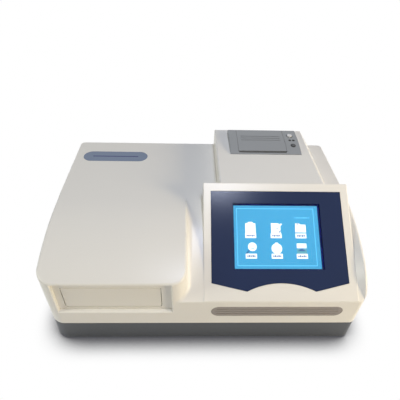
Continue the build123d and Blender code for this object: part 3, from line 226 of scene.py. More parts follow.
def rubber(name, colour, dust_colour=(0.16, 0.155, 0.15, 1.0)):
    """Black rubber with dust in patches."""
    made = Finish(name, colour, 0.82, specular=0.3)
    dust = made.noise(0.012, 3.0)
    made.set("Base Color", made.mix(made.ramp(dust, 0.45, 0.8) * 0.4, made.shade(1.0), dust_colour))
    made.set("Roughness", 0.74 + dust * 0.16)
    made.bump(made.noise(0.0005, 2.0), 0.00004, 0.6)
    return made.material


def ground_steel(name, colour, along):
    """Ground bar: fine marks that run round or along it."""
    made = Finish(name, colour, 0.24, metallic=1.0)
    marks = made.noise(0.0012, 3.0, stretch=along)
    made.set("Base Color", made.mix(marks, made.shade(0.82), made.shade(1.12)))
    made.set("Roughness", 0.16 + marks * 0.2)
    made.bump(marks, 0.00002, 0.4)
    return made.material


def zinc_sheet(name, colour):
    """Passivated zinc plate: pale crystals with a faint bloom."""
    made = Finish(name, colour, 0.42, metallic=1.0)
    crystals = made.cells(0.009)
    bloom = made.noise(0.03, 4.0)
    made.set("Base Color", made.mix(crystals * 0.6 + bloom * 0.4, made.shade(0.8), made.shade(1.15)))
    made.set("Roughness", 0.3 + bloom * 0.3)
    made.bump(made.noise(0.0009, 2.0, stretch=(1.0, 12.0, 1.0)), 0.00002, 0.4)
    return made.material


def machined(name, colour, roughness=0.3):
    """Milled metal: close, shallow tool marks."""
    made = Finish(name, colour, roughness, metallic=1.0)
    marks = made.noise(0.0016, 2.0, stretch=(1.0, 1.0, 14.0))
    made.set("Base Color", made.mix(marks, made.shade(0.88), made.shade(1.1)))
    made.set("Roughness", roughness - 0.08 + marks * 0.16)
    made.bump(marks, 0.00003, 0.5)
    return made.material


def bronze(name, colour):
    """Sintered bronze: warm metal with fine open pores, darkened with painted shade."""
    made = Finish(name, colour, 0.5, metallic=1.0)
    pores = made.ramp(made.cells(0.0007), 0.05, 0.4)
    # The pores are darkened: painted shade in the open pores.
    made.set("Base Color", made.mix(pores, made.shade(0.35), made.shade(1.05)))
    made.bump(pores, 0.00004, 0.8)
    return made.material


def circuit_board(name, colour):
    """Lacquered laminate with tracks under the lacquer and small plated holes."""
    made = Finish(name, colour, 0.3)
    pitch = 6.0 * MM
    square = made.node(
        "ShaderNodeTexVoronoi", {"distance": "CHEBYCHEV"}, Vector=made.position(), Scale=1.0 / pitch,
        Randomness=0.8
    )
    tracks = made.ramp(made.out(square, "Distance"), 0.42, 0.46)
    holes = made.cells(0.004) < 0.1
    lacquer = made.mix(tracks, made.shade(1.0), made.shade(1.9))
    made.set("Base Color", made.mix(holes, lacquer, (0.55, 0.5, 0.36, 1.0)))
    made.set("Coat Weight", 0.5)
    made.bump(tracks, 0.00005, 0.5)
    return made.material


def clear(name, colour, roughness=0.02, ior=1.46):
    """Glass, with the faint smears that fingers leave."""
    made = Finish(name, colour, roughness)
    made.set("Transmission Weight", 1.0)
    made.set("IOR", ior)
    made.set("Roughness", roughness + made.ramp(made.noise(0.02, 3.0), 0.5, 0.8) * 0.04)
    return made.material


def paper(name, colour):
    """Rolled paper: fibres, and the edges of its layers."""
    made = Finish(name, colour, 0.75)
    fibres = made.noise(0.0008, 3.0, stretch=(5.0, 1.0, 1.0))
    layers = made.noise(0.0003, 1.0, stretch=(0.05, 1.0, 1.0))
    made.set("Base Color", made.mix(fibres * 0.5 + layers * 0.5, made.shade(0.84), made.shade(1.06)))
    made.bump(layers, 0.00003, 0.6)
    return made.material


def lit(name, colour, strength, drift=0.0, size=0.06):
    """A surface that gives its own light, such as the picture on the screen."""
    made = Finish(name, colour, 0.5, specular=0.2)
    clouds = made.ramp(made.noise(size, 1.0), 0.3, 0.7)
    dots = made.noise(0.0006, 1.0) * 0.04
    glow = made.mix(clouds * drift + dots, made.colour, made.shade(1.0 - 0.5 * drift - 0.05))
    made.set("Base Color", made.shade(0.3))
    made.set("Emission Color", glow)
    made.set("Emission Strength", strength)
    return made.material


def dress(material, *nodes):
    """Gives a finish to CAD nodes, with clean shading across their rounded edges."""
    for name in nodes:
        piece = frame["nodes"][name]
        piece.data.materials.clear()
        piece.data.materials.append(material)
        smooth(piece)
    return material


def smooth(piece, angle=32.0):
    """Joins the borders of the CAD faces, splits the hard edges again, and evens the shading between them."""
    piece.data.shade_smooth()
    joined = piece.modifiers.new("join seams", "WELD")
    joined.merge_threshold = 0.002 * MM
    split = piece.modifiers.new("hard edges", "EDGE_SPLIT")
    split.split_angle = radians(angle)
    even = piece.modifiers.new("even shading", "WEIGHTED_NORMAL")
    even.weight = 100


def mesh_piece(name, build, material, body):
    """A piece made by a function that fills a bmesh. It rides on a body and takes the given name."""
    mesh = bpy.data.meshes.new(name)
    shape = bmesh.new()
    build(shape)
    bmesh.ops.recalc_face_normals(shape, faces=shape.faces)
    shape.to_mesh(mesh)
    shape.free()
    piece = bpy.data.objects.new(name, mesh)
    bpy.context.scene.collection.objects.link(piece)
    mesh.materials.append(material)
    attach(piece, body)
    return piece


def prism(shape, outline, low, high, place=Matrix()):
    """A flat solid from an outline of (x, y) points, between two heights."""
    bottom = [shape.verts.new(place @ Vector((x, y, low))) for x, y in outline]
    top = [shape.verts.new(place @ Vector((x, y, high))) for x, y in outline]
    shape.faces.new(list(reversed(bottom)))
    shape.faces.new(top)
    count = len(outline)
    for n in range(count):
        after = (n + 1) % count
        shape.faces.new((bottom[n], bottom[after], top[after], top[n]))


def band(shape, outer, inner, low, high, place=Matrix()):
    """A flat ring between two outlines with the same number of points."""
    rings = []
    for outline, height in ((outer, low), (outer, high), (inner, high), (inner, low)):
        rings.append([shape.verts.new(place @ Vector((x, y, height))) for x, y in outline])
    count = len(outer)
    for first, second in zip(rings, rings[1:] + rings[:1]):
        for n in range(count):
            after = (n + 1) % count
            shape.faces.new((first[n], first[after], second[after], second[n]))


def rounded(width, height, radius, centre=(0.0, 0.0), steps=5):
    """The outline of a rectangle with round corners."""
    points = []
    for turn, (sx, sy) in enumerate(((1, -1), (1, 1), (-1, 1), (-1, -1))):
        for n in range(steps + 1):
            angle = radians(-90 + 90 * turn + 90 * n / steps)
            x = centre[0] + sx * (width / 2 - radius) + radius * cos(angle)
            y = centre[1] + sy * (height / 2 - radius) + radius * sin(angle)
            points.append((x, y))
    return points


def disc(radius, centre=(0.0, 0.0), steps=32):
    """The outline of a round plate."""
    turns = [2 * pi * n / steps for n in range(steps)]
    return [(centre[0] + radius * cos(turn), centre[1] + radius * sin(turn)) for turn in turns]


def stroke(start, end, width):
    """The outline of a straight line with some width."""
    along = (Vector(end) - Vector(start)).normalized()
    side = Vector((-along.y, along.x)) * width / 2
    first, last = Vector(start), Vector(end)
    return [tuple(first + side), tuple(first - side), tuple(last - side), tuple(last + side)]


def screen_place():
    """The lit panel's own frame: X across, Y up the slope, Z out of the glass, from its lower left corner."""
    look = bpy.context.scene.reader_screen
    tilt = look.tilt
    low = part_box("touch_glass")[0]
    glass_low = Vector((low.x, low.y + look.glass_thick * sin(tilt), low.z))
    across = Vector((1, 0, 0))
    up = Vector((0, cos(tilt), sin(tilt)))
    out = Vector((0, -sin(tilt), cos(tilt)))
    corner = glass_low + across * look.margin_left + up * look.margin_low - out * look.air_gap
    turn = Matrix((across, up, out)).transposed().to_4x4()
    return Matrix.Translation(corner) @ turn


class ReaderCasing(bpy.types.PropertyGroup):
    """Colours of the casing's mouldings, and the line on the badge."""

    cover: bpy.props.FloatVectorProperty(
        name="Cover", description="Colour of the top cover and the flap", subtype="COLOR",
        default=(0.80, 0.79, 0.76))
    base: bpy.props.FloatVectorProperty(
        name="Base", description="Colour of the base tray", subtype="COLOR", default=(0.066, 0.074, 0.087))
    badge: bpy.props.FloatVectorProperty(
        name="Badge", description="Colour of the inlay on the deck", subtype="COLOR",
        default=(0.165, 0.22, 0.33))
    strip: bpy.props.FloatVectorProperty(
        name="Strip", description="Colour of the ribbed strip on the front", subtype="COLOR",
        default=(0.28, 0.255, 0.245))
    stripe: bpy.props.FloatVectorProperty(
        name="Stripe", description="Colour of the line on the badge", subtype="COLOR",
        default=(0.012, 0.02, 0.14))
    stripe_width: bpy.props.FloatProperty(
        name="Stripe width", description="Width of the line on the badge", unit="LENGTH", default=2.4 * MM)
    stripe_share: bpy.props.FloatProperty(
        name="Stripe length", description="Length of the line, as a share of the badge's", default=0.71)


class ReaderScreen(bpy.types.PropertyGroup):
    """Sizes and colours of the screen."""

    tilt: bpy.props.FloatProperty(
        name="Tilt", description="Slope of the screen", subtype="ANGLE", default=radians(34.3))
    glass_thick: bpy.props.FloatProperty(
        name="Glass", description="Thickness of the touch glass", unit="LENGTH", default=1.1 * MM)
    air_gap: bpy.props.FloatProperty(
        name="Air gap", description="From the touch glass down to the lit panel", unit="LENGTH",
        default=0.66 * MM)
    margin_left: bpy.props.FloatProperty(
        name="Left margin", description="From the glass's edge to the lit area", unit="LENGTH",
        default=5.3 * MM)
    margin_low: bpy.props.FloatProperty(
        name="Low margin", description="From the glass's lower edge to the lit area", unit="LENGTH",
        default=5.4 * MM)
    width: bpy.props.FloatProperty(
        name="Width", description="Width of the lit area", unit="LENGTH", default=129.0 * MM)
    height: bpy.props.FloatProperty(
        name="Height", description="Height of the lit area", unit="LENGTH", default=97.0 * MM)
    spare: bpy.props.FloatProperty(
        name="Spare width", description="How far the lit area goes on to the right of the picture's frame",
        unit="LENGTH", default=1.9 * MM)
    bezel: bpy.props.FloatVectorProperty(
        name="Bezel", description="Colour of the screen surround", subtype="COLOR",
        default=(0.008, 0.02, 0.075))
    border: bpy.props.FloatProperty(
        name="Border", description="From the picture's edge to its frame line", unit="LENGTH",
        default=4.3 * MM)
    line_width: bpy.props.FloatProperty(
        name="Line width", description="Width of the frame line", unit="LENGTH", default=0.9 * MM)
    frame: bpy.props.FloatVectorProperty(
        name="Frame", description="Colour of the panel's rim, round the picture", subtype="COLOR",
        default=(0.006, 0.01, 0.12))
    picture: bpy.props.FloatVectorProperty(
        name="Picture", description="Ground colour of the picture", subtype="COLOR",
        default=(0.044, 0.322, 0.575))
    line: bpy.props.FloatVectorProperty(
        name="Line", description="Colour of the picture's border", subtype="COLOR",
        default=(0.14, 0.6, 0.88))


class ReaderPrinter(bpy.types.PropertyGroup):
    """Colours of the printer, its rings of painted shade round the keys, and its tear bar."""

    body: bpy.props.FloatVectorProperty(
        name="Body", description="Colour of the printer's surround and lid", subtype="COLOR",
        default=(0.26, 0.275, 0.295))
    keys: bpy.props.FloatVectorProperty(
        name="Keys", description="Colour of the release knob", subtype="COLOR", default=(0.66, 0.67, 0.69))
    # The width of the rings of painted shade round the keys.
    ring: bpy.props.FloatProperty(
        name="Ring", description="Width of the printed rings round the keys", unit="LENGTH",
        default=1.2 * MM)
    bar_at: bpy.props.FloatVectorProperty(
        name="Tear bar", description="Depth and height of the tear bar's front edge", size=2, unit="LENGTH",
        default=(75.6 * MM, 203.03 * MM))
    bar_tilt: bpy.props.FloatProperty(
        name="Tear bar tilt", description="Slope of the printer's brow under the bar", subtype="ANGLE",
        default=radians(15.0))
    bar_depth: bpy.props.FloatProperty(
        name="Tear bar depth", description="From its front edge to its teeth", unit="LENGTH",
        default=2.2 * MM)
    bar_inset: bpy.props.FloatProperty(
        name="Tear bar inset", description="From the lid's side to the bar's end", unit="LENGTH",
        default=0.8 * MM)
    tooth: bpy.props.FloatProperty(
        name="Tooth", description="Pitch of the bar's teeth", unit="LENGTH", default=1.6 * MM)
    tooth_height: bpy.props.FloatProperty(
        name="Tooth height", description="From a gap to a tip", unit="LENGTH", default=0.6 * MM)


class ReaderStage(bpy.types.PropertyGroup):
    """The camera, the floor and the light."""

    lens: bpy.props.FloatProperty(
        name="Lens", description="Focal length for a 36 mm sensor, in millimetres", default=32.8)
    camera_at: bpy.props.FloatVectorProperty(
        name="Camera", description="Where the camera stands", subtype="TRANSLATION",
        default=(-0.02672, -0.46079, 0.54856))
    pitch: bpy.props.FloatProperty(
        name="Pitch", description="How far the camera looks down", subtype="ANGLE", default=radians(40.3))
    yaw: bpy.props.FloatProperty(
        name="Yaw", description="How far the camera turns to the right", subtype="ANGLE",
        default=radians(2.43))
    roll: bpy.props.FloatProperty(
        name="Roll", description="How far the camera leans", subtype="ANGLE", default=radians(2.06))
    floor: bpy.props.FloatVectorProperty(
        name="Floor", description="Colour of the floor", subtype="COLOR", default=(0.9, 0.9, 0.91))
    shadow_reach: bpy.props.FloatProperty(
        name="Shadow", description="How far the shadow under the reader spreads", unit="LENGTH",
        default=48.0 * MM)
    # The darkest painted shadow on the floor, right beside the base.
    contact_shadow: bpy.props.FloatVectorProperty(
        name="Contact", description="Colour of the floor right beside the base", subtype="COLOR",
        default=(0.09, 0.09, 0.1))
    top: bpy.props.FloatProperty(name="Top light", description="Cool light from overhead", default=0.34)
    right: bpy.props.FloatProperty(
        name="Right light", description="Warm light from low on the right", default=0.51)
    left: bpy.props.FloatProperty(name="Left light", description="Light from low on the left", default=0.33)
    side: bpy.props.FloatProperty(
        name="Side light", description="Light along the bench from the right", default=0.15)
    sky: bpy.props.FloatProperty(name="Sky", description="Strength of the light from all round", default=0.08)


class READER_OT_casing(bpy.types.Operator):
    """Finish the cover, the base, the flap, the feet and the inlays"""

    bl_idname = "reader.casing"
    bl_label = "Casing"

    def execute(self, context):
        look = context.scene.reader_casing
        cream = moulded("cream moulding", look.cover, 0.34, drift=0.018, scuffs=0.0)
        dress(cream, "top_cover", "plate_flap")
        grey = moulded("dark grey moulding", look.base, 0.5, grain=0.0008, drift=0.07, scuffs=0.1)
        dress(grey, "base_tray")
        lacquer = moulded("badge lacquer", look.badge, 0.36, grain=0.0003, depth=0.00001, drift=0.05)
        dress(lacquer, "name_badge")
        dress(moulded("strip moulding", look.strip, 0.5, drift=0.05), "front_strip")
        dress(rubber("foot rubber", (0.018, 0.018, 0.018)), "rubber_feet")
        steel = ground_steel("screw steel", (0.5, 0.5, 0.51), (1.0, 1.0, 8.0))
        dress(steel, "cover_screws", "flap_pins")
        self.stripe(look)
        return {"FINISHED"}

    def stripe(self, look):
        """A plain painted line along the badge."""
        low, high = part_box("name_badge")
        middle = (low + high) / 2
        length = look.stripe_share * (high.x - low.x)
        line = rounded(length, look.stripe_width, 1.1 * MM, (middle.x, middle.y))
        bottom, top = high.z - 0.2 * MM, high.z + 0.06 * MM
        paint = moulded("stripe paint", look.stripe, 0.35, grain=0.0003, depth=0.00001)
        mesh_piece(
            "badge_stripe", lambda shape: prism(shape, line, bottom, top), paint, "casing"
        )


class READER_OT_screen(bpy.types.Operator):
    """Finish the bezel and the glass, and make the lit picture"""

    bl_idname = "reader.screen"
    bl_label = "Screen"

    # The icons' middles, as shares of the lit area's height and width, and the sizes of what is drawn there.
    ROWS = (0.632, 0.312)
    COLUMNS = (0.197, 0.5, 0.795)
    ICON_SCALE = 1.1 * MM
    LABEL_DROP = 11.4 * MM
    LABEL = (15.4, 6.8)
    LAYER = 0.04 * MM

    def execute(self, context):
        look = context.scene.reader_screen
        self.place = screen_place()
        bezel = moulded("navy bezel", look.bezel, 0.2, grain=0.0004, depth=0.00002, drift=0.12, scuffs=0.0,
                        specular=0.25)
        dress(bezel, "screen_bezel")
        dress(clear("touch glass", (0.97, 0.985, 1.0), ior=1.18), "touch_glass")
        dress(moulded("display frame", look.frame, 0.5, scuffs=0.0, specular=0.1), "display_module")
        dress(zinc_sheet("display bracket zinc", (0.6, 0.61, 0.62)), "display_bracket")
        self.ground = lit("picture ground", look.picture, 1.0, drift=0.18)
        self.line = lit("picture border", look.line, 1.0)
        self.white = lit("picture white", (0.93, 0.95, 0.97), 1.0)
        self.ink = lit("picture ink", (0.03, 0.11, 0.3), 1.0)
        self.teal = lit("picture teal", (0.1, 0.34, 0.42), 1.0)
        self.blush = lit("picture blush", (0.85, 0.4, 0.48), 1.0)
        self.straw = lit("picture straw", (0.93, 0.83, 0.6), 1.0)
        self.panel(look)
        makers = (self.clipboard, self.page, self.folder, self.lens, self.dial, self.tray)
        places = [(column * look.width, row * look.height) for row in self.ROWS for column in self.COLUMNS]
        for maker, (x, y) in zip(makers, places):
            self.centre = (x, y)
            maker()
            self.centre = (x, y - self.LABEL_DROP)
            self.label(maker.__name__)
        return {"FINISHED"}

    def layer(self, name, fill, material, level):
        """A piece on the lit panel, a hair above the level below. The fill gets a shape and two heights."""
        low, high = level * self.LAYER, (level + 0.8) * self.LAYER
        return mesh_piece(name, lambda shape: fill(shape, low, high), material, "casing")

    def lay(self, name, outlines, material, level):
        """Flat plates on the lit panel, as one piece."""
        def fill(shape, low, high):
            for outline in outlines:
                prism(shape, outline, low, high, self.place)

        return self.layer(name, fill, material, level)

    def centred(self, outline):
        """Moves an outline, drawn in millimetres about an icon's middle, to that icon's place."""
        x, y = self.centre
        return [(x + across * self.ICON_SCALE, y + up * self.ICON_SCALE) for across, up in outline]

    def symbol(self, name, outlines, material, level):
        """Plates about an icon's middle."""
        return self.lay(name, [self.centred(outline) for outline in outlines], material, level)

    def ring(self, name, outer, inner, material, level):
        rims = [self.centred(disc(radius)) for radius in (outer, inner)]
        return self.hoop(name, rims, material, level)

    def hoop(self, name, rims, material, level):
        """A flat ring on the lit panel, between an outer and an inner outline."""
        def fill(shape, low, high):
            band(shape, *rims, low, high, self.place)

        return self.layer(name, fill, material, level)

    def panel(self, look):
        """The picture's ground, its frame line, and a row of dashes where the date would be."""
        width, height = look.width, look.height
        middle = (width / 2, height / 2)
        lit_middle = (middle[0] + look.spare / 2, middle[1])
        ground = rounded(width + look.spare, height, 0.3 * MM, lit_middle)
        self.lay("picture_ground", [ground], self.ground, 0)
        inset = 2 * look.border
        outer = rounded(width - inset, height - inset, 0.5 * MM, middle)
        inset += 2 * look.line_width
        inner = rounded(width - inset, height - inset, 0.3 * MM, middle)
        self.hoop("picture_border", (outer, inner), self.line, 1)
        first = (width * 0.735, height * 0.805)
        pitch = 3.6 * MM
        dashes = []
        for n in range(7):
            wide = (1.2 + 0.9 * ((n * 5) % 3)) * MM
            dashes.append(rounded(wide, 1.9 * MM, 0.3 * MM, (first[0] + pitch * n, first[1])))
        self.lay("picture_dashes", dashes, self.line, 1)

    def label(self, name):
        """A plate under an icon, with a few bars in place of words."""
        self.symbol("label_" + name, [rounded(*self.LABEL, 0.5)], self.white, 1)
        bars = [rounded(1.7, 2.0 + 0.9 * (n % 2), 0.3, ((n - 2) * 2.4, 0.0)) for n in range(5)]
        self.symbol("bars_" + name, bars, self.ink, 2)

    def clipboard(self):
        board = rounded(14.4, 14.4, 1.0)
        clip = rounded(7.0, 3.4, 1.2, (0.0, 7.4))
        self.symbol("icon_clipboard", [board, clip], self.white, 1)
        self.ring("icon_clipboard_ring", 2.7, 1.7, self.blush, 2)

    def page(self):
        sheet = [(-6.6, -7.0), (6.6, -7.0), (6.6, 4.0), (3.6, 7.4), (-6.6, 7.4)]
        self.symbol("icon_page", [sheet], self.white, 1)
        tick = [stroke((0.2, 0.4), (1.8, -1.4), 0.7), stroke((1.8, -1.4), (4.6, 2.6), 0.7)]
        self.symbol("icon_page_lines", [*tick, stroke((4.2, -6.0), (6.4, -3.0), 1.2)], self.ink, 2)
        self.symbol("icon_page_pencil", [stroke((3.4, 2.2), (8.5, 6.6), 2.2)], self.white, 3)

    def folder(self):
        back = [(-7.6, -5.5), (7.6, -5.5), (7.6, 5.6), (0.4, 5.6), (-1.6, 7.4), (-7.0, 7.4)]
        self.symbol("icon_folder", [back], self.white, 1)
        self.symbol("icon_folder_tab", [stroke((-5.0, 6.3), (-2.6, 6.3), 1.2)], self.ink, 2)

    def lens(self):
        eye = (1.8, 2.4)
        self.symbol("icon_lens", [disc(6.0, eye)], self.white, 1)
        self.symbol("icon_lens_handle", [stroke((-2.4, -2.4), (-6.6, -7.0), 1.7)], self.ink, 1)
        glint = [stroke((0.0, 1.2), (1.8, -0.6), 0.8), stroke((1.8, -0.6), (4.2, 0.2), 0.8)]
        self.symbol("icon_lens_glint", glint, self.teal, 2)

    def dial(self):
        self.symbol("icon_dial", [disc(7.3), rounded(4.0, 2.4, 0.8, (0.0, 7.2))], self.white, 1)
        self.ring("icon_dial_ring", 4.0, 2.9, self.straw, 2)
        self.symbol("icon_dial_hand", [stroke((0.0, 0.0), (1.7, 2.0), 0.6)], self.blush, 3)

    def tray(self):
        self.symbol("icon_tray", [rounded(13.6, 6.6, 0.8, (0.0, 4.0))], self.white, 1)
        self.symbol("icon_tray_base", [rounded(13.6, 7.0, 0.8, (0.0, -3.4))], self.teal, 1)
        roof = [(-5.4, -3.4), (5.4, -3.4), (1.0, 0.0), (-1.2, 0.0)]
        self.symbol("icon_tray_roof", [roof], self.ink, 2)


class READER_OT_printer(bpy.types.Operator):
    """Finish the printer, its lid, its keys and its paper"""

    bl_idname = "reader.printer"
    bl_label = "Printer"

    def execute(self, context):
        look = context.scene.reader_printer
        body = {"colour": look.body, "roughness": 0.34, "grain": 0.0005, "scuffs": 0.0, "metallic": 0.5}
        dress(moulded("printer grey", **body), "paper_door")
        # The frame's moulding carries rings of painted shade round the keys and lamps.
        dress(moulded("printer grey with painted key shade", shade_spots=self.key_shade_rings(look), **body), "printer_frame")
        self.tear_bar_slot_shade(look)
        black = moulded("printer black", (0.02, 0.02, 0.022), 0.5, grain=0.0007)
        dress(black, "printer_well", "roll_core")
        silver = moulded("key silver", look.keys, 0.22, grain=0.0002, depth=0.00001, drift=0.02, coat=0.6)
        dress(silver, "release_button")
        dress(moulded("key grey", (0.05, 0.053, 0.06), 0.35, grain=0.0003), "feed_button")
        dress(clear("lamp lens", (0.25, 0.3, 0.28), 0.15), "status_lamps")
        dress(paper("thermal paper", (0.86, 0.86, 0.83)), "paper_roll")
        dress(rubber("platen rubber", (0.03, 0.03, 0.03)), "platen_roller")
        dress(ground_steel("printer steel", (0.6, 0.6, 0.61), (1.0, 10.0, 10.0)), "platen_shaft", "door_rod")
        dress(machined("head metal", (0.55, 0.56, 0.58)), "print_head")
        return {"FINISHED"}

    def key_shade_rings(self, look):
        """Dark rings of painted shade round the two keys and the two lamps, as places and radii."""
        rings = []
        for name in ("release_button", "feed_button", "status_lamps"):
            low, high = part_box(name)
            radius = (high.y - low.y) / 2
            for x in sorted({low.x + radius, high.x - radius}):
                rings.append((x, (low.y + high.y) / 2, radius + look.ring))
        return rings

    def tear_bar_slot_shade(self, look):
        """A toothed steel bar in front of the lid's foot, where the paper comes out, dark as painted slot shade.
        """
        low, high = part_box("paper_door")
        left, right = low.x + look.bar_inset, high.x - look.bar_inset
        teeth = int((right - left) / look.tooth)
        step = (right - left) / teeth
        gap = look.bar_depth - look.tooth_height
        outline = [(left, 0.0), (right, 0.0)]
        for n in range(teeth, 0, -1):
            outline += [(left + n * step, gap), (left + (n - 0.5) * step, look.bar_depth)]
        outline.append((left, gap))
        place = Matrix.Translation(Vector((0.0, *look.bar_at))) @ Matrix.Rotation(look.bar_tilt, 4, "X")
        # Very dark steel: partly the bar's own colour, partly painted shade of the paper slot under the lid.
        steel = ground_steel("tear bar steel darkened as slot shade", (0.1, 0.1, 0.095), (1.0, 8.0, 8.0))
        bottom, top = 0.02 * MM, 0.3 * MM
        mesh_piece(
            "tear_bar_slot_shade", lambda shape: prism(shape, outline, bottom, top, place), steel, "casing"
        )


class READER_OT_carriage(bpy.types.Operator):
    """Finish the plate carriage, its guide and its drive"""

    bl_idname = "reader.carriage"
    bl_label = "Carriage"

    def execute(self, context):
        black = moulded("carriage black", (0.022, 0.023, 0.025), 0.42, grain=0.0007)
        dress(black, "plate_carriage", "home_sensor")
        dress(bronze("bush bronze", (0.62, 0.42, 0.2)), "carriage_bushes")
        dress(ground_steel("guide steel", (0.68, 0.68, 0.69), (9.0, 1.0, 9.0)), "guide_rods", "motor_shaft")
        dress(zinc_sheet("carriage zinc", (0.62, 0.63, 0.64)), "rail_brackets", "idler_bracket")
        dress(machined("pulley metal", (0.7, 0.7, 0.72)), "drive_pulley", "idler_pulley", "belt_clamp")
        dress(moulded("motor black", (0.03, 0.03, 0.032), 0.4, grain=0.0009), "drive_motor", "wheel_motor")
        dress(rubber("belt rubber", (0.02, 0.02, 0.021)), "drive_belt")
        return {"FINISHED"}


class READER_OT_optics(bpy.types.Operator):
    """Finish the lamp house, the filters, the fibres and the measuring head"""

    bl_idname = "reader.optics"
    bl_label = "Optics"

    def execute(self, context):
        metal = machined("optics metal", (0.66, 0.66, 0.68), 0.36)
        dress(metal, "lamp_house", "filter_wheel", "measuring_head", "fibre_mount")
        dress(clear("lamp glass", (0.95, 0.95, 0.9), 0.03), "lamp")
        dress(clear("filter glass", (0.9, 0.55, 0.25), 0.02), "optical_filters")
        dress(moulded("fibre sleeve", (0.02, 0.02, 0.022), 0.55, grain=0.0015, depth=0.0002), "fibre_bundle")
        dress(ground_steel("wheel steel", (0.65, 0.65, 0.66), (1.0, 9.0, 9.0)), "wheel_shaft")
        dress(zinc_sheet("bridge zinc", (0.6, 0.61, 0.62)), "head_bridge")
        return {"FINISHED"}


class READER_OT_electronics(bpy.types.Operator):
    """Finish the chassis, the boards, the power supply and the back"""

    bl_idname = "reader.electronics"
    bl_label = "Electronics and back"

    def execute(self, context):
        dress(circuit_board("board green", (0.015, 0.13, 0.05)), "main_board", "detector_board")
        dress(moulded("chip black", (0.018, 0.018, 0.02), 0.4, grain=0.0004), "board_parts")
        dress(bronze("standoff brass", (0.75, 0.58, 0.26)), "board_standoffs")
        dress(zinc_sheet("chassis zinc", (0.6, 0.61, 0.62)), "chassis_plate", "power_supply")
        panel = moulded("panel paint", (0.33, 0.34, 0.35), 0.45, grain=0.0009, depth=0.00006, drift=0.04)
        dress(panel, "rear_panel")
        black = moulded("fitting black", (0.02, 0.02, 0.022), 0.42, grain=0.0006)
        dress(black, "fan_frame", "fan_rotor", "mains_inlet", "switch_housing", "switch_rocker")
        dress(ground_steel("fitting steel", (0.58, 0.58, 0.6), (1.0, 1.0, 6.0)), "data_ports", "panel_screws")
        return {"FINISHED"}


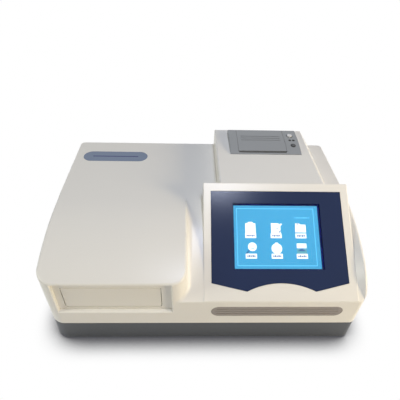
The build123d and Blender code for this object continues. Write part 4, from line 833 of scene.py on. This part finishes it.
class READER_OT_stage(bpy.types.Operator):
    """Make the floor, the light and the camera"""

    bl_idname = "reader.stage"
    bl_label = "Stage"

    def execute(self, context):
        look = context.scene.reader_stage
        context.scene.view_settings.view_transform = "Standard"
        self.floor(look)
        self.sky(context, look)
        self.lamp("top light", 25, 77, look.top, 1.3, (0.90, 0.97, 1.18), spread=12.0)
        self.lamp("right light", 60, 20, look.right, 1.6, (1.22, 1.0, 0.62))
        self.lamp("left light", -72, 24, look.left, 1.6, (1.03, 1.0, 0.82))
        self.lamp("side light", 95, 16, look.side, 1.6, (1.0, 1.0, 0.95))
        self.camera(context, look)
        return {"FINISHED"}

    def floor(self, look):
        """A pale floor that is seen white, with a soft shadow painted round the base."""
        made = Finish("floor", look.floor, 0.9, specular=0.1)
        marks = made.noise(0.5, 2.0)
        made.set("Base Color", made.mix(marks, made.shade(0.985), made.shade(1.0)))
        near = made.node("ShaderNodeAmbientOcclusion", {"samples": 24}, Distance=look.shadow_reach)
        # Painted shadow: where the base is near, the white that the camera sees darkens towards the contact
        # colour.
        shadow = 1.0 - made.ramp(made.out(near, "AO"), 0.46, 0.97)
        white = made.mix(shadow, (1.0, 1.0, 1.0, 1.0), (*look.contact_shadow, 1.0))
        backdrop = made.node("ShaderNodeEmission", Color=white, Strength=1.0)
        plain = made.out(made.shader)
        blend = made.node("ShaderNodeMixShader", Fac=made.seen(), i1=plain, i2=made.out(backdrop))
        made.feed(made.tree.nodes["Material Output"].inputs["Surface"], made.out(blend))
        mesh = bpy.data.meshes.new("floor")
        shape = bmesh.new()
        bmesh.ops.create_grid(shape, x_segments=8, y_segments=8, size=4.0)
        shape.to_mesh(mesh)
        shape.free()
        mesh.materials.append(made.material)
        plane = bpy.data.objects.new("floor", mesh)
        plane.location.z = CAD_BOX[0].z
        bpy.context.scene.collection.objects.link(plane)

    def sky(self, context, look):
        """A white world that gives only a little light."""
        world = bpy.data.worlds.new("sky")
        context.scene.world = world
        world.use_nodes = True
        nodes = Nodes(world.node_tree)
        level = nodes.node("ShaderNodeMapRange", i0=nodes.seen(), i3=look.sky)
        ground = world.node_tree.nodes["Background"]
        nodes.feed(ground.inputs["Color"], (1.0, 1.0, 1.0, 1.0))
        nodes.feed(ground.inputs["Strength"], nodes.out(level))

    def lamp(self, name, turn, height, strength, distance, colour, spread=20.0):
        """A broad light at a compass turn to the right of the front, and at an angle above the floor."""
        light = bpy.data.lights.new(name, "AREA")
        light.shape = "DISK"
        light.size = 2 * distance * sin(radians(spread / 2))
        light.energy = strength * (pi * distance) ** 2
        light.color = colour
        made = bpy.data.objects.new(name, light)
        level = cos(radians(height))
        towards = Vector((sin(radians(turn)) * level, -cos(radians(turn)) * level, sin(radians(height))))
        made.location = (CAD_BOX[0] + CAD_BOX[1]) / 2 + towards * distance
        made.rotation_euler = towards.to_track_quat("Z", "Y").to_euler()
        bpy.context.scene.collection.objects.link(made)

    def camera(self, context, look):
        """The camera looks along its own -Z, turned by yaw and pitch, then leaned by roll."""
        lens = bpy.data.cameras.new("camera")
        lens.lens = look.lens
        lens.sensor_width = 36.0
        made = bpy.data.objects.new("camera", lens)
        ahead = Vector((sin(look.yaw) * cos(look.pitch), cos(look.yaw) * cos(look.pitch), -sin(look.pitch)))
        right = Vector((cos(look.yaw), -sin(look.yaw), 0.0))
        up = right.cross(ahead)
        side = right * cos(look.roll) + up * sin(look.roll)
        above = up * cos(look.roll) - right * sin(look.roll)
        turn = Matrix((side, above, -ahead)).transposed().to_4x4()
        made.matrix_world = Matrix.Translation(Vector(look.camera_at)) @ turn
        context.scene.collection.objects.link(made)
        context.scene.camera = made


class READER_PT_panel(bpy.types.Panel):
    """The reader's steps, in the 3D view's sidebar"""

    bl_label = "Microplate Reader"
    bl_idname = "READER_PT_panel"
    bl_space_type = "VIEW_3D"
    bl_region_type = "UI"
    bl_category = "Reader"

    def draw(self, context):
        for step in STEPS:
            self.layout.operator(step.bl_idname)


GROUPS = {
    "reader_casing": ReaderCasing,
    "reader_screen": ReaderScreen,
    "reader_printer": ReaderPrinter,
    "reader_stage": ReaderStage,
}
STEPS = (
    READER_OT_stage,
    READER_OT_casing,
    READER_OT_screen,
    READER_OT_printer,
    READER_OT_carriage,
    READER_OT_optics,
    READER_OT_electronics,
)


def register():
    for made in (*GROUPS.values(), *STEPS, READER_PT_panel):
        bpy.utils.register_class(made)
    for name, group in GROUPS.items():
        setattr(bpy.types.Scene, name, bpy.props.PointerProperty(type=group))


def unregister():
    for name in GROUPS:
        delattr(bpy.types.Scene, name)
    for made in reversed((*GROUPS.values(), *STEPS, READER_PT_panel)):
        bpy.utils.unregister_class(made)


def main():
    register()
    bpy.ops.reader.stage()
    bpy.ops.reader.casing()
    bpy.ops.reader.screen()
    bpy.ops.reader.printer()
    bpy.ops.reader.carriage()
    bpy.ops.reader.optics()
    bpy.ops.reader.electronics()


if __name__ == "__main__":
    main()
